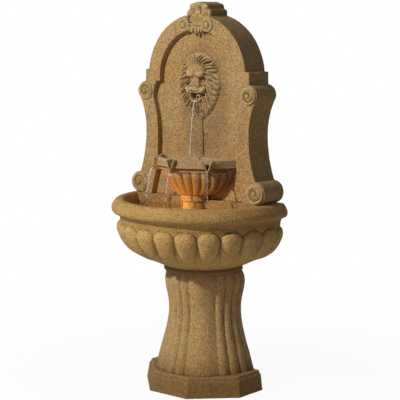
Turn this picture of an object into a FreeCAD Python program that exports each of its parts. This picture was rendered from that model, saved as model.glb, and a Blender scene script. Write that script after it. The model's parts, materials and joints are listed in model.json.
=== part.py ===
"""Flat-backed floor fountain: pedestal, gadrooned basin, lion panel, upper bowl, pump and lamp.

Millimetres, +Z up. The origin is on the floor on the column's axis, the front faces -Y,
and the whole back is cut flat at one plane so that the fountain stands against a wall.
"""
import FreeCAD
import Part
import os
from math import cos, pi, radians, sin, sqrt, tan

# Main planes, and the reach of cuts
wall_y = 57.0
panel_front_y = -51.0
mask_x = 6.0
far = 600.0
past = 1.0

# Pedestal
plinth_widening = 12.0
plinth_apothem_floor = 199.0
plinth_apothem_top = 190.0
plinth_height = 57.0
step_apothem_low = 186.0
step_apothem_high = 182.0
step_top = 69.0
column_sections = (
    (69.0, 173.0), (123.0, 159.0), (187.0, 141.5), (270.0, 128.0),
    (335.0, 134.5), (375.0, 141.0), (408.0, 134.0),
)
front_reed_angle = 14.0
wide_panel_end_angle = 56.0
side_reed_angle = 14.0
side_reed_count = 4
reed_depth = 7.5
column_side_growth = 0.05
column_side_angles = (50.0, 112.0)
pedestal_wall = 26.0
pedestal_back_wall = 30.0

# Basin: belly sections as (height, radius, groove depth), profile corners as (radius, height)
basin_axis_y = -8.0
seat_z = 408.0
foot_radius = 133.0
foot_swell = 4.0
spigot_height = 10.0
spigot_gap = 1.5
spigot_wall = 16.0
basin_recess_z = 440.0
gadroon_count = 23
gadroon_turn = 4.0
belly_sections = (
    (428.0, 139.0, 2.0), (452.0, 189.0, 6.0), (465.0, 222.0, 9.0),
    (487.0, 256.0, 13.0), (509.0, 275.5, 15.0), (530.0, 288.0, 16.0),
    (550.0, 295.0, 14.5), (568.0, 295.0, 8.0), (584.0, 287.5, 0.8),
)
neck_foot = (294.0, 577.0)
neck_waist = (289.0, 591.0)
neck_top = (295.0, 604.0)
rim_under = (307.0, 611.0)
rim_bulge = (317.0, 625.0)
rim_shoulder = (310.5, 644.0)
rim_crown = (304.0, 653.5)
rim_top_radius = 292.0
rim_z = 658.0
pool_floor_z = 478.0
pool_floor_radius = 206.0
pool_bend = (240.0, 500.0)
pool_wall_low = (262.0, 568.0)
pool_wall_high = (270.0, 634.0)
pool_lip_radius = 278.0

# Back panel, corners as (x, height)
foot_scroll_x = 256.0
foot_scroll_radius = 38.0
foot_scroll_end_angle = 92.0
ear_x = 226.0
ear_z = 1018.0
ear_radius = 34.0
ear_start_angle = -40.0
ear_end_angle = 88.0
waist_x = 226.0
waist_z = 885.0
step_block = (227.0, 1094.0)
arch_z = 1070.0
arch_radius = 213.0
crest_top_z = 1324.0
crest_lobe_ends = ((47.0, 1277.75), (37.0, 1299.5), (21.0, 1319.0))
crest_lobe_tops = ((51.5, 1288.5), (36.0, 1311.0))
crest_set_back = 16.0
crest_gap_half_width = 34.0
niche_radius = 162.0
niche_depth = 22.0
niche_knee = (176.0, 762.0)
niche_foot_x = 205.0
niche_waist_x = 172.0
niche_ear = (192.0, 992.0)
niche_ear_bulge = (190.0, 1026.0)
niche_jog = (176.0, 1054.0)
cavity_half_width = 140.0
cavity_bottom_z = 690.0
cavity_front_y = -15.0
cover_rebate = 14.0
cover_seat_y = 45.0
hose_slot_half_width = 14.0
hose_slot_low_z = 663.0
hose_slot_high_z = 746.0

# Crest and scroll carving on the panel
volute_x = 53.0
volute_z = 1248.0
volute_radius = 21.5
volute_height = 11.0
eye_radius = 8.0
eye_height = 15.0
scroll_disc_height = 3.0
scroll_disc_rim = 7.0
bar_half_width = 33.0
bar_z = 1237.0
bar_height = 15.0
bar_depth = 7.0
drop_places_lengths = ((-22.0, 14.0), (0.0, 22.0), (22.0, 14.0))
drop_radius = 7.0
drop_sunk = 3.0
petal_hinge_z = 1254.0
petal_hinge_radius = 2.0
petal_angles_lengths = ((52.0, 44.0), (90.0, 52.0), (128.0, 44.0))
petal_radius = 10.0
petal_knob_radius = 10.8
tongue = (1266.0, (13.0, 9.0, 11.0))

# Lion mask: lumps as (x from the mask's middle, y, z) and half sizes
mask_z = 1040.0
mask_half_width = 93.0
mask_half_height = 113.0
mane_lobes = 22
mane_sections = ((0.0, 1.0, 8.0), (11.0, 0.97, 8.0), (18.0, 0.82, 7.0), (22.0, 0.60, 5.0))
face_lump = ((0.0, -34.0, 1050.0), (47.0, 21.0, 62.0))
muzzle_lump = ((0.0, -46.0, 1030.0), (25.0, 20.0, 17.0))
nose_lump = ((0.0, -58.0, 1040.0), (11.0, 10.0, 8.0))
jaw_lump = ((0.0, -44.0, 985.0), (20.0, 17.0, 12.0))
brow_lumps = [((x, -50.0, 1085.0), (18.0, 8.0, 8.0)) for x in (-22.0, 22.0)]
mouth_hollow = ((0.0, -52.0, 1005.0), (19.0, 17.0, 9.0))
spout_z = 1005.0

# Upper bowl: plan from the niche floor, sections as (height, half width, half depth, groove depth)
bowl_plan = ((-170.0, 0.0), (-115.0, -99.0), (0.0, -149.0), (115.0, -99.0), (170.0, 0.0))
bowl_rim_z = 801.0
bowl_band_z = 774.0
bowl_body_z = 760.0
bowl_seat_z = 674.0
bowl_floor_z = 748.0
bowl_wall = 15.0
bowl_back_wall = 16.0
band_inset = 0.90
dish_floor_scale = 0.60
bowl_flutes = 24
bowl_sections = (
    (674.0, 62.0, 66.0, 2.0), (683.0, 92.0, 78.0, 4.0), (696.0, 115.0, 88.0, 6.0),
    (716.0, 134.0, 100.0, 7.0), (740.0, 144.0, 110.0, 7.0), (760.0, 147.0, 116.0, 4.0),
)
spout_half_width = 18.0
spout_low_z = 757.0
spout_reach = 9.0
spout_root = 21.0
spout_cut_root = 27.0
spout_wall = 4.0
spout_forward = 1.4
hose_channel_gap = 3.0
hose_channel_rise = 50.0

# Bowl stand
stand_neck_radius = 43.0
stand_collar_radius = 50.0
stand_collar_z = 655.0
stand_base_radius = 92.0
stand_base_height = 84.0
stand_shoulder_height = 124.0
stand_shoulder_bulge = (0.30, 28.0)
stand_wall = 9.0
stand_arch_half_width = 22.0
stand_arch_height = 36.0
stand_arch_angles = (-60.0, 0.0, 60.0)

# Hose and spout
hose_x = mask_x
tube_radius = 8.0
tube_bore = 6.0
hose_radius = 11.0
hose_bore = 8.1
hose_low_y = -69.0
hose_high_y = 10.0
hose_bend_radius = 60.0
hose_bend_angle = 45.0
hose_low_end_z = pool_floor_z + 76.0
hose_bend_start_z = 640.0
hose_top_z = 966.0
hose_grip = 22.0
elbow_radius = 18.0
spout_tip_y = -46.0
spout_nut_radius = 15.0
spout_nut_height = 6.0
clamp_wall = 1.2
clamp_width = 9.0
clamp_inset = 3.0
clamp_box = (6.2, 6.0, 0.5)

# Pump, stations along X from the pump's middle
pump_x = mask_x
pump_axis_y = -84.0
pump_bottom_z = pool_floor_z + 8.0
pump_half_depth = 26.0
pump_height = 54.0
pump_axis_z = pump_bottom_z + pump_height / 2
pump_corner = 8.0
pump_length = 40.0
volute_low_x = -9.0
volute_high_x = 9.0
volute_wall = 2.5
grille_low_x = -33.0
grille_wall = 2.5
grille_side = 9.0
grille_slot_count = 6
grille_slot_width = 4.0
grille_slot_ends = (6.0, 5.0)
chamber_radius = 19.0
intake_radius = 8.0
bridge_half_width = 2.0
rotor_radius = 9.5
rotor_low_x = 10.0
rotor_length = 30.0
rotor_well = (10.5, 42.0)
hub_radius = 5.0
hub_low_x = -4.5
web_x = (6.0, 8.0)
blade_radius = 16.5
blade_root = 3.0
blade_count = 6
blade_thickness = 2.0
blade_low_x = -3.5
shaft_radius = 1.5
shaft_x = (-8.5, 45.0)
shaft_socket_x = 46.0
running_gap = 0.05
dial_radius = 13.0
dial_thickness = 5.0
dial_gap = 0.3
dial_stem_radius = 4.0
dial_stem_length = 6.5
dial_grip = (11.0, 2.0, 4.0)
pump_screw = (1.5, 2.8, 2.0)
pump_screw_inset = 6.0
pump_screw_bite = 7.0
pump_screw_well = 3.2
foot_cup = (9.0, 4.0, 5.0)
foot_inset_x = 9.0
foot_inset_y = 11.0
gland_flange = (6.5, 4.0)
gland_sleeve = (5.0, 2.8, 8.0)
gland_drop = 12.0

# Lamp
lamp_x = -98.0
lamp_y = -146.0
lamp_pivot_z = pool_floor_z + 50.0
lamp_radius = 25.0
lamp_cup_radius = 23.0
lamp_low_z = lamp_pivot_z - 22.0
lamp_rim_z = lamp_pivot_z + 16.0
lamp_wall = 2.5
lamp_floor = 6.0
lamp_lip = 5.0
lamp_fins = ((3.0, 5.0), (8.0, 10.0))
lamp_boss_radius = 6.0
lamp_boss_x = 27.0
lamp_board_radius = 19.0
lamp_board_thickness = 3.0
lamp_chip = (6.0, 2.0)
lamp_chip_ring = 9.0
lamp_chip_count = 3
lamp_seal_bore = 20.0
lamp_seal_thickness = 2.0
lamp_lens_radius = 24.0
lamp_lens_thickness = 4.0
lamp_lens_crown = (19.0, 1.5)
lamp_bezel_radius = 27.5
lamp_bezel_lip = 2.0
lamp_ear_x = 28.0
lamp_ear_thickness = 3.0
lamp_ear_half_width = 9.0
lamp_pin = (3.0, 6.0, 4.0)
lamp_pin_gap = 0.4
lamp_base_radius = 31.0
lamp_base_thickness = 4.0
lamp_pad_radius = 29.0
lamp_pad_thickness = 3.0
lamp_gland_radius = 4.0
lamp_gland_bore = 2.5
lamp_gland_drop = 6.0

# Rear cover, fasteners as (shank radius, head radius, head height), and pins
screw_gap = 0.1
hole_end_gap = 0.5
cover_thickness = 5.0
cover_edge_gap = 0.5
cover_seat_gap = 0.3
cover_screw = (2.5, 4.5, 3.0)
cover_screw_length = 16.0
cover_screw_inset = 7.0
cover_screw_heights = (706.0, 885.0, 1060.0)
cover_screw_arch_angles = (45.0, 135.0)
cover_pilot_radius = 2.9
mask_screw = (2.5, 4.5, 3.0)
mask_screw_spread = (42.0, 52.0)
mask_screw_bite = 11.0
mask_washer = (7.0, 1.5)
bolt_radius = 4.0
bolt_head = (7.5, 5.5)
bowl_bolt_x = 92.0
bowl_bolt_z = 735.0
bowl_bolt_bite = 20.0
bowl_washer = (10.0, 2.0)
pin_radius = 8.0
pin_x = 205.0
pin_bite = 30.0
grommet_x = 80.0
grommet_z = 722.0
grommet_bore = 3.5
grommet_radius = 9.0
grommet_outer_flange = (12.0, 3.0)
grommet_inner_flange = (10.5, 2.0)

along_x = FreeCAD.Vector(1, 0, 0)
along_y = FreeCAD.Vector(0, 1, 0)
along_z = FreeCAD.Vector(0, 0, 1)
niche_floor_y = panel_front_y + niche_depth
crest_front_y = panel_front_y + crest_set_back
foot_scroll_z = rim_z + foot_scroll_radius
volute_end_x = volute_high_x + pump_length
lamp_base_z = pool_floor_z + lamp_pad_thickness
lamp_lens_z = lamp_rim_z + lamp_seal_thickness
lamp_lens_top = lamp_lens_z + lamp_lens_thickness


# Shared shapes

def point(x, y, z):
    return FreeCAD.Vector(x, y, z)


def flat(x, z):
    """A point in the XZ plane, where outlines and turned profiles are drawn."""
    return point(x, 0, z)


def line(start, end):
    return Part.LineSegment(start, end).toShape()


def arc(start, middle, end):
    return Part.Arc(start, middle, end).toShape()


def box(low, high):
    """A block between two corners given as (x, y, z)."""
    size = [top - bottom for bottom, top in zip(low, high)]
    return Part.makeBox(*size, point(*low))


def rod(radius, start, end):
    """A cylinder between two points."""
    return Part.makeCylinder(radius, (end - start).Length, start, end - start)


def x_rod(radius, y, z, start_x, end_x):
    return rod(radius, point(start_x, y, z), point(end_x, y, z))


def y_rod(radius, x, z, start_y, end_y):
    return rod(radius, point(x, start_y, z), point(x, end_y, z))


def z_rod(radius, x, y, start_z, end_z):
    return rod(radius, point(x, y, start_z), point(x, y, end_z))


def hexagon_bar(radius, x, z, start_y, length):
    """A six-sided bar along Y, as nuts and bolt heads have."""
    corners = []
    for k in range(7):
        turn = k * pi / 3
        corners.append(point(x + radius * cos(turn), start_y, z + radius * sin(turn)))
    return Part.Face(Part.makePolygon(corners)).extrude(along_y * length)


def fused(first, *others):
    return first.fuse(list(others)).removeSplitter()


def behind(y):
    """Everything at or behind a vertical plane across the fountain."""
    return box((-far, y, -far), (far, y + far, 3 * far))


def turned(edges, axis_y=0.0):
    """A solid of revolution about a vertical axis from edges drawn in the XZ plane."""
    solid = Part.Face(Part.Wire(edges)).revolve(point(0, 0, 0), along_z, 360)
    solid.translate(point(0, axis_y, 0))
    return solid


def closed_lines(corners):
    """Straight edges through (radius, height) corners, closed."""
    spots = [flat(r, z) for r, z in corners]
    return [line(a, b) for a, b in zip(spots, spots[1:] + spots[:1])]


def plate(outline, y_back, y_front):
    """A closed outline in the XZ plane, given at y = 0, as a slab between two planes."""
    face = Part.Face(outline)
    face.translate(point(0, y_back, 0))
    return face.extrude(point(0, y_front - y_back, 0))


def mirrored(edges):
    """A closed outline from the edges of its right half, bottom centre to top centre."""
    copies = [edge.mirror(point(0, 0, 0), along_x) for edge in edges]
    return Part.Wire(Part.__sortEdges__(edges + copies))


def on_circle(x, z, radius, angle):
    """The (x, z) of a point on a circle of the panel's front."""
    return x + radius * cos(radians(angle)), z + radius * sin(radians(angle))


def sweep_arc(waist, end):
    """A concave side that is upright at the waist and runs out to the end."""
    out = end[0] - waist[0]
    rise = end[1] - waist[1]
    radius = (out * out + rise * rise) / (2 * out)
    half = rise / 2
    middle = flat(waist[0] + radius - sqrt(radius * radius - half * half), waist[1] + half)
    return arc(flat(*waist), middle, flat(*end))


def lobed_ring(centre, half_x, half_y, depth, angles, growth=0.0):
    """A level closed wire of outward lobes, meeting in grooves at the given angles from the front."""
    def spot(angle, inset):
        turn = radians(angle)
        reach = point((half_x - inset) * sin(turn), -(half_y - inset) * cos(turn), 0)
        return centre + reach * (1 + growth * side_share(angle))
    edges = []
    for start, end in zip(angles, angles[1:] + [angles[0] + 360.0]):
        edges.append(arc(spot(start, depth), spot((start + end) / 2, 0), spot(end, depth)))
    return Part.Wire(edges)


def side_share(angle):
    """How far an angle from the front has come round to the sides, from 0 to 1."""
    start, end = column_side_angles
    from_front = min(angle % 360.0, 360.0 - angle % 360.0)
    share = min(max((from_front - start) / (end - start), 0.0), 1.0)
    return (1 - cos(pi * share)) / 2


def even_angles(count, turn):
    return [turn + k * 360.0 / count for k in range(count)]


def octagon(apothem, z):
    """A level octagon, wider than deep, with corners cut at 45 degrees."""
    half = apothem + plinth_widening
    front = apothem * tan(pi / 8)
    side = apothem + front - half
    spots = [(half, -side), (half, side), (front, apothem), (-front, apothem)]
    spots += [(-x, -y) for x, y in spots]
    return Part.makePolygon([point(x, y, z) for x, y in spots + spots[:1]])


def ellipsoid(centre, half_sizes):
    stretch = FreeCAD.Matrix()
    stretch.scale(*half_sizes)
    shape = Part.makeSphere(1.0).transformGeometry(stretch)
    shape.translate(centre)
    return shape


def pipe(path, radius):
    """A round bar along a path of straight runs and tangent arcs."""
    start = path[0].valueAt(path[0].FirstParameter)
    heading = path[0].tangentAt(path[0].FirstParameter)
    ring = Part.Wire(Part.makeCircle(radius, start, heading))
    return Part.Wire(path).makePipeShell([ring], True, False)


def screw(sizes, head_spot, direction, length):
    """A round-headed screw whose head starts at a spot; the shank runs along the direction."""
    radius, head_radius, head_height = sizes
    head = rod(head_radius, head_spot - direction * head_height, head_spot)
    return fused(head, rod(radius, head_spot, head_spot + direction * length))


# Pedestal and basin

def reed_angles():
    """Groove angles round the column: front reeds, two wide panels, side reeds, all symmetric."""
    right = [0.0, front_reed_angle]
    right += [wide_panel_end_angle + k * side_reed_angle for k in range(side_reed_count + 1)]
    return right + [360.0 - angle for angle in reversed(right[1:])]


def pedestal_void():
    corners = [(0.0, -past), (column_sections[0][1] - pedestal_wall, -past)]
    corners += [(radius - pedestal_wall, z) for z, radius in column_sections]
    corners += [(corners[-1][0], seat_z + past), (0.0, seat_z + past)]
    return turned(closed_lines(corners)).cut(behind(wall_y - pedestal_back_wall))


def make_pedestal():
    plinth_rings = [octagon(plinth_apothem_floor, 0), octagon(plinth_apothem_top, plinth_height)]
    step_rings = [octagon(step_apothem_low, plinth_height), octagon(step_apothem_high, step_top)]
    column_rings = []
    for z, radius in column_sections:
        centre = point(0, 0, z)
        ring = lobed_ring(centre, radius, radius, reed_depth, reed_angles(), column_side_growth)
        column_rings.append(ring)
    body = fused(*[Part.makeLoft(rings, True) for rings in (plinth_rings, step_rings, column_rings)])
    return body.cut(behind(wall_y)).cut(pedestal_void())


def belly():
    rings = []
    for z, radius, depth in belly_sections:
        angles = even_angles(gadroon_count, gadroon_turn)
        rings.append(lobed_ring(point(0, basin_axis_y, z), radius, radius, depth, angles))
    return Part.makeLoft(rings, True)


def rim_ring():
    """The plain neck and the rolled rim. The belly's top is inside the neck's foot."""
    low = flat(*neck_foot)
    under = flat(*rim_under)
    shoulder = flat(*rim_shoulder)
    top = flat(rim_top_radius, rim_z)
    edges = [arc(low, flat(*neck_waist), flat(*neck_top)), line(flat(*neck_top), under)]
    edges += [arc(under, flat(*rim_bulge), shoulder), arc(shoulder, flat(*rim_crown), top)]
    edges += [line(top, flat(0, rim_z)), line(flat(0, rim_z), flat(0, low.z)), line(flat(0, low.z), low)]
    return turned(edges, basin_axis_y)


def pool():
    """The water space: round in front, upright at the rear ledge."""
    floor_axis = flat(0, pool_floor_z)
    floor_edge = flat(pool_floor_radius, pool_floor_z)
    wall_low = flat(*pool_wall_low)
    wall_high = flat(*pool_wall_high)
    lip = flat(pool_lip_radius, rim_z + past)
    lip_axis = flat(0, rim_z + past)
    edges = [line(floor_axis, floor_edge), arc(floor_edge, flat(*pool_bend), wall_low)]
    edges += [line(wall_low, wall_high), line(wall_high, lip)]
    edges += [line(lip, lip_axis), line(lip_axis, floor_axis)]
    return turned(edges, basin_axis_y).cut(behind(panel_front_y))


def basin_foot():
    """The round moulding that sits on the column."""
    top_z = belly_sections[0][0]
    low = flat(foot_radius, seat_z)
    high = flat(foot_radius, top_z)
    swell = flat(foot_radius + foot_swell, (seat_z + top_z) / 2)
    edges = [line(flat(0, seat_z), low), arc(low, swell, high)]
    edges += [line(high, flat(0, top_z)), line(flat(0, top_z), flat(0, seat_z))]
    return turned(edges)


def make_basin():
    body = fused(belly(), rim_ring(), basin_foot()).cut(behind(wall_y))
    spigot_radius = column_sections[-1][1] - pedestal_wall - spigot_gap
    spigot_back_y = wall_y - pedestal_back_wall - spigot_gap
    spigot = z_rod(spigot_radius, 0, 0, seat_z - spigot_height, seat_z).cut(behind(spigot_back_y))
    recess = z_rod(spigot_radius - spigot_wall, 0, 0, seat_z - far, basin_recess_z)
    recess = recess.cut(behind(spigot_back_y - spigot_wall))
    body = fused(body, spigot).cut(recess).cut(pool())
    hole_low_z = rim_z - pin_bite - hole_end_gap
    return body.cut([z_rod(pin_radius + screw_gap, x, 0, hole_low_z, rim_z + past) for x in (-pin_x, pin_x)])


# Back panel and lion mask

def crest_crown():
    """The top lobe's right half, level at the top."""
    half, foot_z = crest_lobe_ends[-1]
    rise = crest_top_z - foot_z
    radius = (half * half + rise * rise) / (2 * rise)
    middle = flat(half / 2, crest_top_z - radius + sqrt(radius * radius - half * half / 4))
    return arc(flat(half, foot_z), middle, flat(0, crest_top_z))


def panel_outline():
    foot_start = flat(foot_scroll_x, rim_z)
    foot_side = flat(foot_scroll_x + foot_scroll_radius, foot_scroll_z)
    foot_end = on_circle(foot_scroll_x, foot_scroll_z, foot_scroll_radius, foot_scroll_end_angle)
    ear_start = on_circle(ear_x, ear_z, ear_radius, ear_start_angle)
    ear_end = on_circle(ear_x, ear_z, ear_radius, ear_end_angle)
    spring = flat(sqrt(arch_radius ** 2 - (step_block[1] - arch_z) ** 2), step_block[1])
    arch_middle = on_circle(0.0, arch_z, arch_radius, 45.0)
    lobes = [flat(*end) for end in crest_lobe_ends]
    edges = [line(flat(0, rim_z), foot_start), arc(foot_start, foot_side, flat(*foot_end))]
    edges += [sweep_arc((waist_x, waist_z), foot_end), sweep_arc((waist_x, waist_z), ear_start)]
    edges.append(arc(flat(*ear_start), flat(ear_x + ear_radius, ear_z), flat(*ear_end)))
    edges += [line(flat(*ear_end), flat(*step_block)), line(flat(*step_block), spring)]
    edges.append(arc(spring, flat(*arch_middle), lobes[0]))
    for start, top, end in zip(lobes, crest_lobe_tops, lobes[1:]):
        edges.append(arc(start, flat(*top), end))
    return mirrored(edges + [crest_crown()])


def niche_outline():
    spring_low = flat(niche_radius, niche_jog[1])
    spring = flat(niche_radius, arch_z)
    arch_middle = on_circle(0.0, arch_z, niche_radius, 45.0)
    foot = flat(niche_foot_x, rim_z - past)
    edges = [line(flat(0, rim_z - past), foot), line(foot, flat(*niche_knee))]
    edges += [sweep_arc((niche_waist_x, waist_z), end) for end in (niche_knee, niche_ear)]
    edges.append(arc(flat(*niche_ear), flat(*niche_ear_bulge), flat(*niche_jog)))
    edges += [line(flat(*niche_jog), spring_low), line(spring_low, spring)]
    edges.append(arc(spring, flat(*arch_middle), flat(0, arch_z + niche_radius)))
    return mirrored(edges)


def arched_outline(half_width, bottom_z):
    """An upright opening with a half-round head."""
    corner = flat(half_width, bottom_z)
    side = flat(half_width, arch_z)
    middle = flat(*on_circle(0.0, arch_z, half_width, 45.0))
    top = flat(0, arch_z + half_width)
    return mirrored([line(flat(0, bottom_z), corner), line(corner, side), arc(side, middle, top)])


def front_disc(x, z, radius, height):
    return y_rod(radius, x, z, panel_front_y + past, panel_front_y - height)


def drop(x, length):
    """A hanging leaf drop, its top sunk in the crest bar."""
    half = length / 2 + drop_sunk
    return ellipsoid(point(x, panel_front_y, bar_z - length + half), (drop_radius, drop_radius, half))


def petal(angle, length):
    """A tapered rib of the crest that ends in a round knob."""
    lean = point(cos(radians(angle)), 0, sin(radians(angle)))
    root = point(0, crest_front_y, petal_hinge_z)
    rib = Part.makeCone(petal_hinge_radius, petal_radius, length, root, lean)
    return fused(rib, Part.makeSphere(petal_knob_radius, root + lean * length))


def crest_recess():
    """The space in front of the crest, which stands back from the panel's front."""
    front_y = panel_front_y - past
    bar_top = bar_z + bar_height
    arch_end = crest_lobe_ends[0][1]
    gap = box((-crest_gap_half_width, front_y, bar_top), (crest_gap_half_width, crest_front_y, arch_end))
    above = box((-volute_x, front_y, arch_end), (volute_x, crest_front_y, crest_top_z + past))
    return [gap, above]


def carving():
    """Raised ornament on the panel's front: volutes, scroll discs, bar, petals, tongue and drops."""
    pieces = []
    for side in (-1, 1):
        pieces.append(front_disc(side * volute_x, volute_z, volute_radius, volute_height))
        pieces.append(front_disc(side * volute_x, volute_z, eye_radius, eye_height))
        pieces.append(front_disc(side * ear_x, ear_z, ear_radius - scroll_disc_rim, scroll_disc_height))
        foot_disc_radius = foot_scroll_radius - scroll_disc_rim
        pieces.append(front_disc(side * foot_scroll_x, foot_scroll_z, foot_disc_radius, scroll_disc_height))
    pieces.append(box((-bar_half_width, panel_front_y - bar_depth, bar_z),
                      (bar_half_width, panel_front_y + past, bar_z + bar_height)))
    pieces += [petal(angle, length) for angle, length in petal_angles_lengths]
    tongue_z, tongue_halves = tongue
    pieces.append(ellipsoid(point(0, crest_front_y, tongue_z), tongue_halves))
    return pieces + [drop(x, length) for x, length in drop_places_lengths]


def mask_screw_spots():
    wide, tall = mask_screw_spread
    return [(mask_x + sx * wide, mask_z + sz * tall) for sx in (-1, 1) for sz in (-1, 1)]


def cover_screw_spots():
    reach = cavity_half_width + cover_screw_inset
    spots = [(side * reach, z) for side in (-1, 1) for z in cover_screw_heights]
    return spots + [on_circle(0.0, arch_z, reach, angle) for angle in cover_screw_arch_angles]


def panel_holes():
    """Holes for the spout, the screws, the bolts and the locating pins."""
    cavity_y = cavity_front_y + past
    niche_y = niche_floor_y - past
    pilot_y = cover_seat_y + cover_thickness - cover_screw_length - hole_end_gap
    holes = [y_rod(tube_radius + screw_gap, mask_x, spout_z, niche_y, cavity_y)]
    for x, z in mask_screw_spots():
        holes.append(y_rod(mask_screw[0] + screw_gap, x, z, niche_y, cavity_y))
    for x, z in cover_screw_spots():
        holes.append(y_rod(cover_pilot_radius, x, z, pilot_y, cover_seat_y + past))
    for x in (-bowl_bolt_x, bowl_bolt_x):
        holes.append(y_rod(bolt_radius + screw_gap, x, bowl_bolt_z, niche_y, cavity_y))
    for x in (-pin_x, pin_x):
        holes.append(z_rod(pin_radius + screw_gap, x, 0, rim_z - past, rim_z + pin_bite + hole_end_gap))
    return holes


def make_back_panel():
    body = plate(panel_outline(), wall_y, panel_front_y)
    body = body.cut(plate(niche_outline(), niche_floor_y, panel_front_y - past)).cut(crest_recess())
    body = fused(body, *carving())
    cavity = arched_outline(cavity_half_width, cavity_bottom_z)
    rebate = arched_outline(cavity_half_width + cover_rebate, cavity_bottom_z - cover_rebate)
    body = body.cut(plate(cavity, wall_y + past, cavity_front_y))
    body = body.cut(plate(rebate, wall_y + past, cover_seat_y))
    slot = box((hose_x - hose_slot_half_width, panel_front_y - past, hose_slot_low_z),
               (hose_x + hose_slot_half_width, cavity_front_y + past, hose_slot_high_z))
    return body.cut([slot] + panel_holes())


def mane():
    """A ring of locks that swells out of the niche floor and closes towards the face."""
    rings = []
    for rise, scale, depth in mane_sections:
        half_x = mask_half_width * scale
        half_z = mask_half_height * scale
        level = lobed_ring(point(0, 0, 0), half_x, half_z, depth, even_angles(mane_lobes, 0.0))
        level.rotate(point(0, 0, 0), along_x, 90)
        level.translate(point(mask_x, niche_floor_y - rise, mask_z))
        rings.append(level)
    return Part.makeLoft(rings, True)


def lump(place, half_sizes):
    return ellipsoid(point(mask_x, 0, 0) + point(*place), half_sizes)


def make_lion_mask():
    features = [lump(*sizes) for sizes in (face_lump, muzzle_lump, nose_lump, jaw_lump, *brow_lumps)]
    body = fused(mane(), *features).cut(lump(*mouth_hollow)).cut(behind(niche_floor_y))
    holes = [y_rod(tube_radius + screw_gap, mask_x, spout_z, -far, niche_floor_y + past)]
    hole_end_y = niche_floor_y - mask_screw_bite - hole_end_gap
    for x, z in mask_screw_spots():
        holes.append(y_rod(mask_screw[0] + screw_gap, x, z, hole_end_y, niche_floor_y + past))
    return body.cut(holes)


# Upper bowl and its stand

def bowl_wire(scale, z, inset_back):
    """The bowl's plan, scaled about the middle of its back edge, with the back edge moved forward."""
    spots = [point(x * scale, niche_floor_y + y * scale, z) for x, y in bowl_plan]
    shift = point(0, -inset_back, 0)
    spots[0] = spots[0] + shift
    spots[-1] = spots[-1] + shift
    return Part.makePolygon(spots + spots[:1])


def bowl_slab(scale, low_z, high_z):
    return Part.Face(bowl_wire(scale, low_z, 0.0)).extrude(point(0, 0, high_z - low_z))


def spout_prism(corner, half_width, low_z, start, end):
    """A V-shaped prism through one corner of the bowl's rim, running outwards."""
    x, y = corner
    outward = point(x, y * spout_forward, 0)
    outward.normalize()
    across = point(-outward.y, outward.x, 0) * half_width
    root = point(x, niche_floor_y + y, 0) + outward * start
    high = root + along_z * bowl_rim_z
    low = root + along_z * low_z
    face = Part.Face(Part.makePolygon([high - across, high + across, low, high - across]))
    return face.extrude(outward * (end - start))


def make_upper_bowl():
    rings = []
    for z, half_x, half_y, depth in bowl_sections:
        angles = even_angles(bowl_flutes, gadroon_turn)
        rings.append(lobed_ring(point(0, niche_floor_y, z), half_x, half_y, depth, angles))
    body = Part.makeLoft(rings, True).cut(behind(niche_floor_y))
    cove = bowl_slab(band_inset, bowl_body_z, bowl_band_z)
    band = bowl_slab(1.0, bowl_band_z, bowl_rim_z)
    corners = bowl_plan[1:-1]
    spouts = [spout_prism(c, spout_half_width, spout_low_z, -spout_root, spout_reach) for c in corners]
    body = fused(body, cove, band).fuse(spouts).removeSplitter()
    rim_scale = 1.0 + bowl_wall / bowl_plan[2][1]
    dish_low = bowl_wire(dish_floor_scale, bowl_floor_z, bowl_back_wall)
    dish_high = bowl_wire(rim_scale, bowl_rim_z, bowl_back_wall)
    cuts = [Part.makeLoft([dish_low, dish_high], True)]
    inner_half = spout_half_width - spout_wall
    inner_low_z = bowl_rim_z - (bowl_rim_z - spout_low_z) * inner_half / spout_half_width
    for corner in corners:
        cuts.append(spout_prism(corner, inner_half, inner_low_z, -spout_cut_root, spout_reach + past))
    channel_front_y = hose_low_y - hose_radius - hose_channel_gap
    cuts.append(box((hose_x - hose_slot_half_width, channel_front_y, bowl_seat_z - past),
                    (hose_x + hose_slot_half_width, niche_floor_y + past, bowl_seat_z + hose_channel_rise)))
    bolt_end_y = niche_floor_y - bowl_bolt_bite - hole_end_gap
    for x in (-bowl_bolt_x, bowl_bolt_x):
        cuts.append(y_rod(bolt_radius + screw_gap, x, bowl_bolt_z, bolt_end_y, niche_floor_y + past))
    for cut in cuts:
        body = body.cut(cut)
    return body


def stand_shape(neck, base, collar, low_z):
    """The stand's solid of revolution, whole, about the middle of the panel's front."""
    base_top = flat(base, pool_floor_z + stand_base_height)
    neck_low = flat(neck, pool_floor_z + stand_shoulder_height)
    inset, lift = stand_shoulder_bulge
    shoulder = flat(base - (base - neck) * inset, base_top.z + lift)
    neck_high = flat(neck, stand_collar_z)
    collar_low = flat(collar, stand_collar_z)
    collar_high = flat(collar, bowl_seat_z)
    edges = [line(flat(0, low_z), flat(base, low_z)), line(flat(base, low_z), base_top)]
    edges += [arc(base_top, shoulder, neck_low), line(neck_low, neck_high)]
    if collar > neck:
        edges.append(line(neck_high, collar_low))
    edges += [line(collar_low, collar_high), line(collar_high, flat(0, bowl_seat_z))]
    edges.append(line(flat(0, bowl_seat_z), flat(0, low_z)))
    return turned(edges, panel_front_y)


def stand_gate(angle):
    """An arched inlet in the stand's base, at an angle from the front."""
    half = stand_arch_half_width
    front_y = -stand_base_radius - past
    gate = box((-half, front_y, -past), (half, -stand_neck_radius, stand_arch_height))
    gate = fused(gate, y_rod(half, 0, stand_arch_height, front_y, -stand_neck_radius))
    gate.rotate(point(0, 0, 0), along_z, angle)
    gate.translate(point(0, panel_front_y, pool_floor_z))
    return gate


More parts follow.
